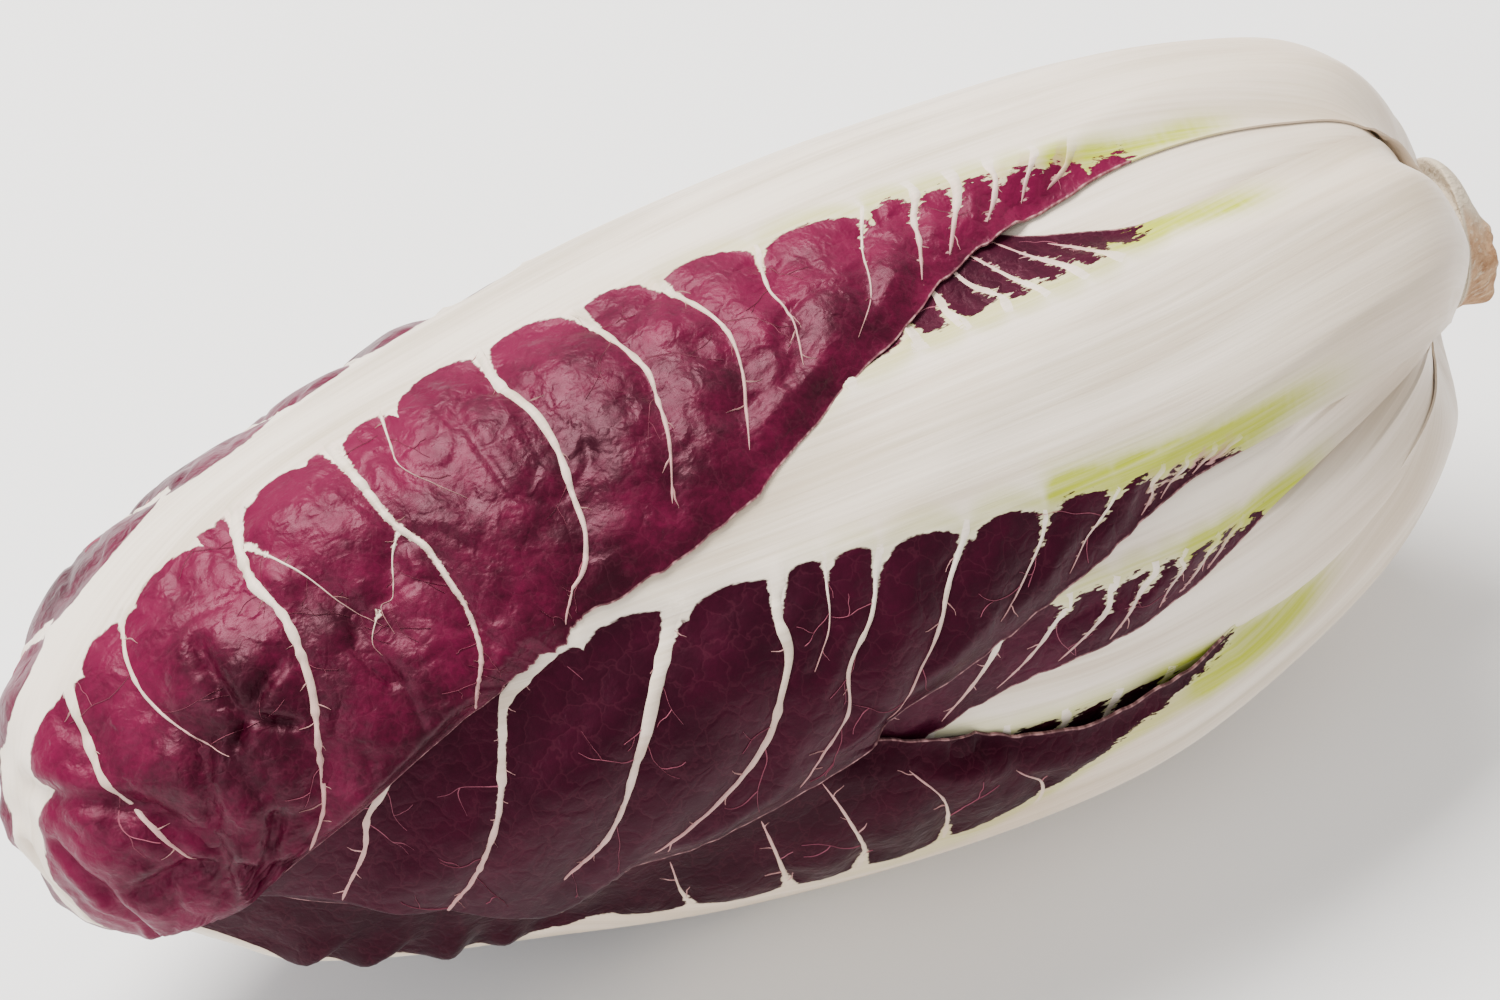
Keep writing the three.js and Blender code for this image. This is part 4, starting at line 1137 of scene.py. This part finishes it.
def make_heart():
    rows, columns = ((120, 180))
    arc, turn = np.meshgrid(np.linspace(HEART_START, HEART_END, rows),
                            np.arange(columns) * 360 / columns, indexing="ij")
    step = ((turn + arc * 0.5) / 360 * HEART_LEAVES) % 1
    relief = HEART_RELIEF * step * np.sin(math.pi * (arc - HEART_START) / (HEART_END - HEART_START))
    spots = place(arc, turn, 0)
    relief = relief + 0.4 * noise(spots, 7, SEED + 5)
    ring = place(arc, turn, read_field(heart_depth, arc, turn) + HEART_CLEARANCE + relief).reshape(-1, 3)
    base = np.array([[ROOT_X - HEART_BASE, 0, AXIS_HEIGHT]])
    tip_depth = read_field(heart_depth, np.array(TIP), np.array(0.0)) + HEART_CLEARANCE + HEART_TIP_DROP
    tip = place(np.array([TIP]), np.array([0.0]), tip_depth)
    points = np.vstack([ring, base, tip])
    grid = closed_round(np.arange(rows * columns).reshape(rows, columns))
    faces = quads_of(grid).tolist()
    faces += [[rows * columns, grid[0, j + 1], grid[0, j]] for j in range(columns)]
    faces += [[rows * columns + 1, grid[-1, j], grid[-1, j + 1]] for j in range(columns)]
    values = {"distance": np.append(arc.ravel(), [HEART_START, TIP])}
    piece = make_object("heart_leaves", points, faces, values, heart_material())
    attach(piece, "root")
    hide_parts("heart")


make_heart()


# Stem: the cut root end outside the collar and the taper inside. From the cut face inwards: distance
# along the axis, radius, how far its crown swells under the tilted leaf bases, and how far it is bent.
STEM_OUTLINE = [
    (-12.3, 0.4, 0, 1), (-12.2, 2.2, 0, 1), (-11.9, 3.8, 0, 1), (-11.0, 4.9, 0, 1), (-9.8, 5.5, 1.8, 0.9),
    (-8, 6.5, 3.6, 0.4), (-6, 7.8, 2.6, 0), (-5.7, 7.8, 0, 0), (2, 7.7, 0, 0), (10.2, 6.4, 0, 0),
    (17, 4.5, 0, 0), (17.5, 0.4, 0, 0),
]
STUB_FRONT = 1.5
STUB_DROP = 2.5


def stem_material():
    n = Nodes("cut_stem")
    place_mm = n.place_mm()
    bark = n.noise(place_mm, 0.5, 6, 0.65)
    fibre = n.noise(n.scaled(place_mm, (0.2, 1.4, 1.4)), 1.0, 5, 0.6)
    tan = n.mix(n.step(bark, 0.3, 0.7), (0.58, 0.36, 0.20, 1), (0.34, 0.17, 0.08, 1))
    tan = n.mix(n.step(fibre, 0.5, 0.75), tan, (0.70, 0.54, 0.38, 1))
    # The white crown is painted in the white in painted shade.
    n.put(n.shader.inputs["Base Color"], n.mix(n.value("green"), tan, WHITE_SHADE))
    n.shader.inputs["Roughness"].default_value = 0.85
    n.shader.inputs["Specular IOR Level"].default_value = 0.2
    normal = n.bump(fibre, 0.8, 0.8)
    n.put(n.shader.inputs["Normal"], n.bump(bark, 0.6, 0.8, normal))
    return n.material


def make_stem():
    sides, steps = 96, 8
    outline = centripetal(STEM_OUTLINE, steps)
    q, turn = np.meshgrid(outline[:, 0], np.arange(sides) * 360 / sides, indexing="ij")
    radius = outline[:, 1][:, None] + 0 * turn
    crown = outline[:, 2][:, None] * np.maximum(0, np.cos(np.radians(turn - ROOT_TILT_TURN))) ** 2
    bend = outline[:, 3][:, None] + 0 * turn
    cut = smooth((-9 - q) / 1.5)
    spots = np.stack([q, radius * np.cos(np.radians(turn)), radius * np.sin(np.radians(turn))], -1)
    rough = 0.06 * np.sin(np.radians(3 * turn)) + 0.04 * np.sin(np.radians(7 * turn))
    size = radius * (1 + cut * (rough + 0.07 * noise(spots, 1.7, SEED + 6))) + crown
    q = q + cut * (0.7 * noise(spots, 2.6, SEED + 7) + 0.35 * noise(spots, 1.1, SEED + 12))
    shift = root_shift(COLLAR, turn, size)
    points = np.stack([
        ROOT_X - q + shift,
        -size * np.sin(np.radians(turn)) - bend * STUB_FRONT,
        AXIS_HEIGHT + size * np.cos(np.radians(turn)) - bend * STUB_DROP,
    ], -1).reshape(-1, 3)
    rows = len(outline)
    grid = closed_round(np.arange(rows * sides).reshape(rows, sides))
    faces = quads_of(grid).tolist() + [grid[0, :-1][::-1].tolist(), grid[-1, :-1].tolist()]
    white = smooth(crown / 1.6) + smooth((q + 6.6) / 0.6)
    piece = make_object("stem_cut", points, faces, {"green": np.clip(white, 0, 1).ravel()}, stem_material())
    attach(piece, "root")
    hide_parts("stem")


make_stem()


# Camera, as the photograph saw the head.
CAMERA_AZIMUTH = -30.3
CAMERA_ELEVATION = 45.0
CAMERA_DISTANCE = 600
CAMERA_TARGET = (-5.53, 0, 47.55)
PHOTO_WIDTH = 1500
PIXELS_PER_UNIT = 5434.6
SENSOR = 36
LIGHT_TARGET = Vector((0, 0, 0.04))


def make_camera():
    data = bpy.data.cameras.new("camera")
    data.sensor_width = SENSOR
    data.lens = PIXELS_PER_UNIT * SENSOR / PHOTO_WIDTH
    camera = add_to_scene("camera", data)
    a, e = math.radians(CAMERA_AZIMUTH), math.radians(CAMERA_ELEVATION)
    back = Vector((math.sin(a) * math.cos(e), -math.cos(a) * math.cos(e), math.sin(e)))
    camera.location = (Vector(CAMERA_TARGET) + back * CAMERA_DISTANCE) * MM
    camera.rotation_euler = back.to_track_quat("Z", "Y").to_euler()
    bpy.context.scene.camera = camera


def area_light(name, place_m, size, power, colour=(1, 1, 1)):
    data = bpy.data.lights.new(name, "AREA")
    data.shape = "RECTANGLE"
    data.size, data.size_y = size
    data.energy = power
    data.color = colour
    light = add_to_scene(name, data)
    light.location = place_m
    light.rotation_euler = (Vector(place_m) - LIGHT_TARGET).to_track_quat("Z", "Y").to_euler()


WORLD_STRENGTH = 0.75
FLOOR_SIZE = 3.0
FLOOR_SHADE = 0.93
SUN_WHITE = (1, 0.97, 0.93)


def make_studio():
    world = bpy.data.worlds.new("studio")
    world.use_nodes = True
    world.node_tree.nodes["Background"].inputs["Color"].default_value = (1, 1, 1, 1)
    world.node_tree.nodes["Background"].inputs["Strength"].default_value = WORLD_STRENGTH
    bpy.context.scene.world = world
    area_light("overhead", (-0.15, 0.42, 1.05), (0.8, 0.45), 34, SUN_WHITE)
    area_light("left_fill", (-1.1, -0.5, 0.7), (0.7, 0.7), 7)
    mesh = bpy.data.meshes.new("floor")
    corners = [(x * FLOOR_SIZE, y * FLOOR_SIZE, 0) for x, y in ((-1, -1), (1, -1), (1, 1), (-1, 1))]
    mesh.from_pydata(corners, [], [(0, 1, 2, 3)])
    n = Nodes("pale_floor")
    n.shader.inputs["Base Color"].default_value = (FLOOR_SHADE, FLOOR_SHADE, FLOOR_SHADE, 1)
    n.shader.inputs["Roughness"].default_value = 0.8
    mesh.materials.append(n.material)
    floor = add_to_scene("floor", mesh)


make_camera()
make_studio()
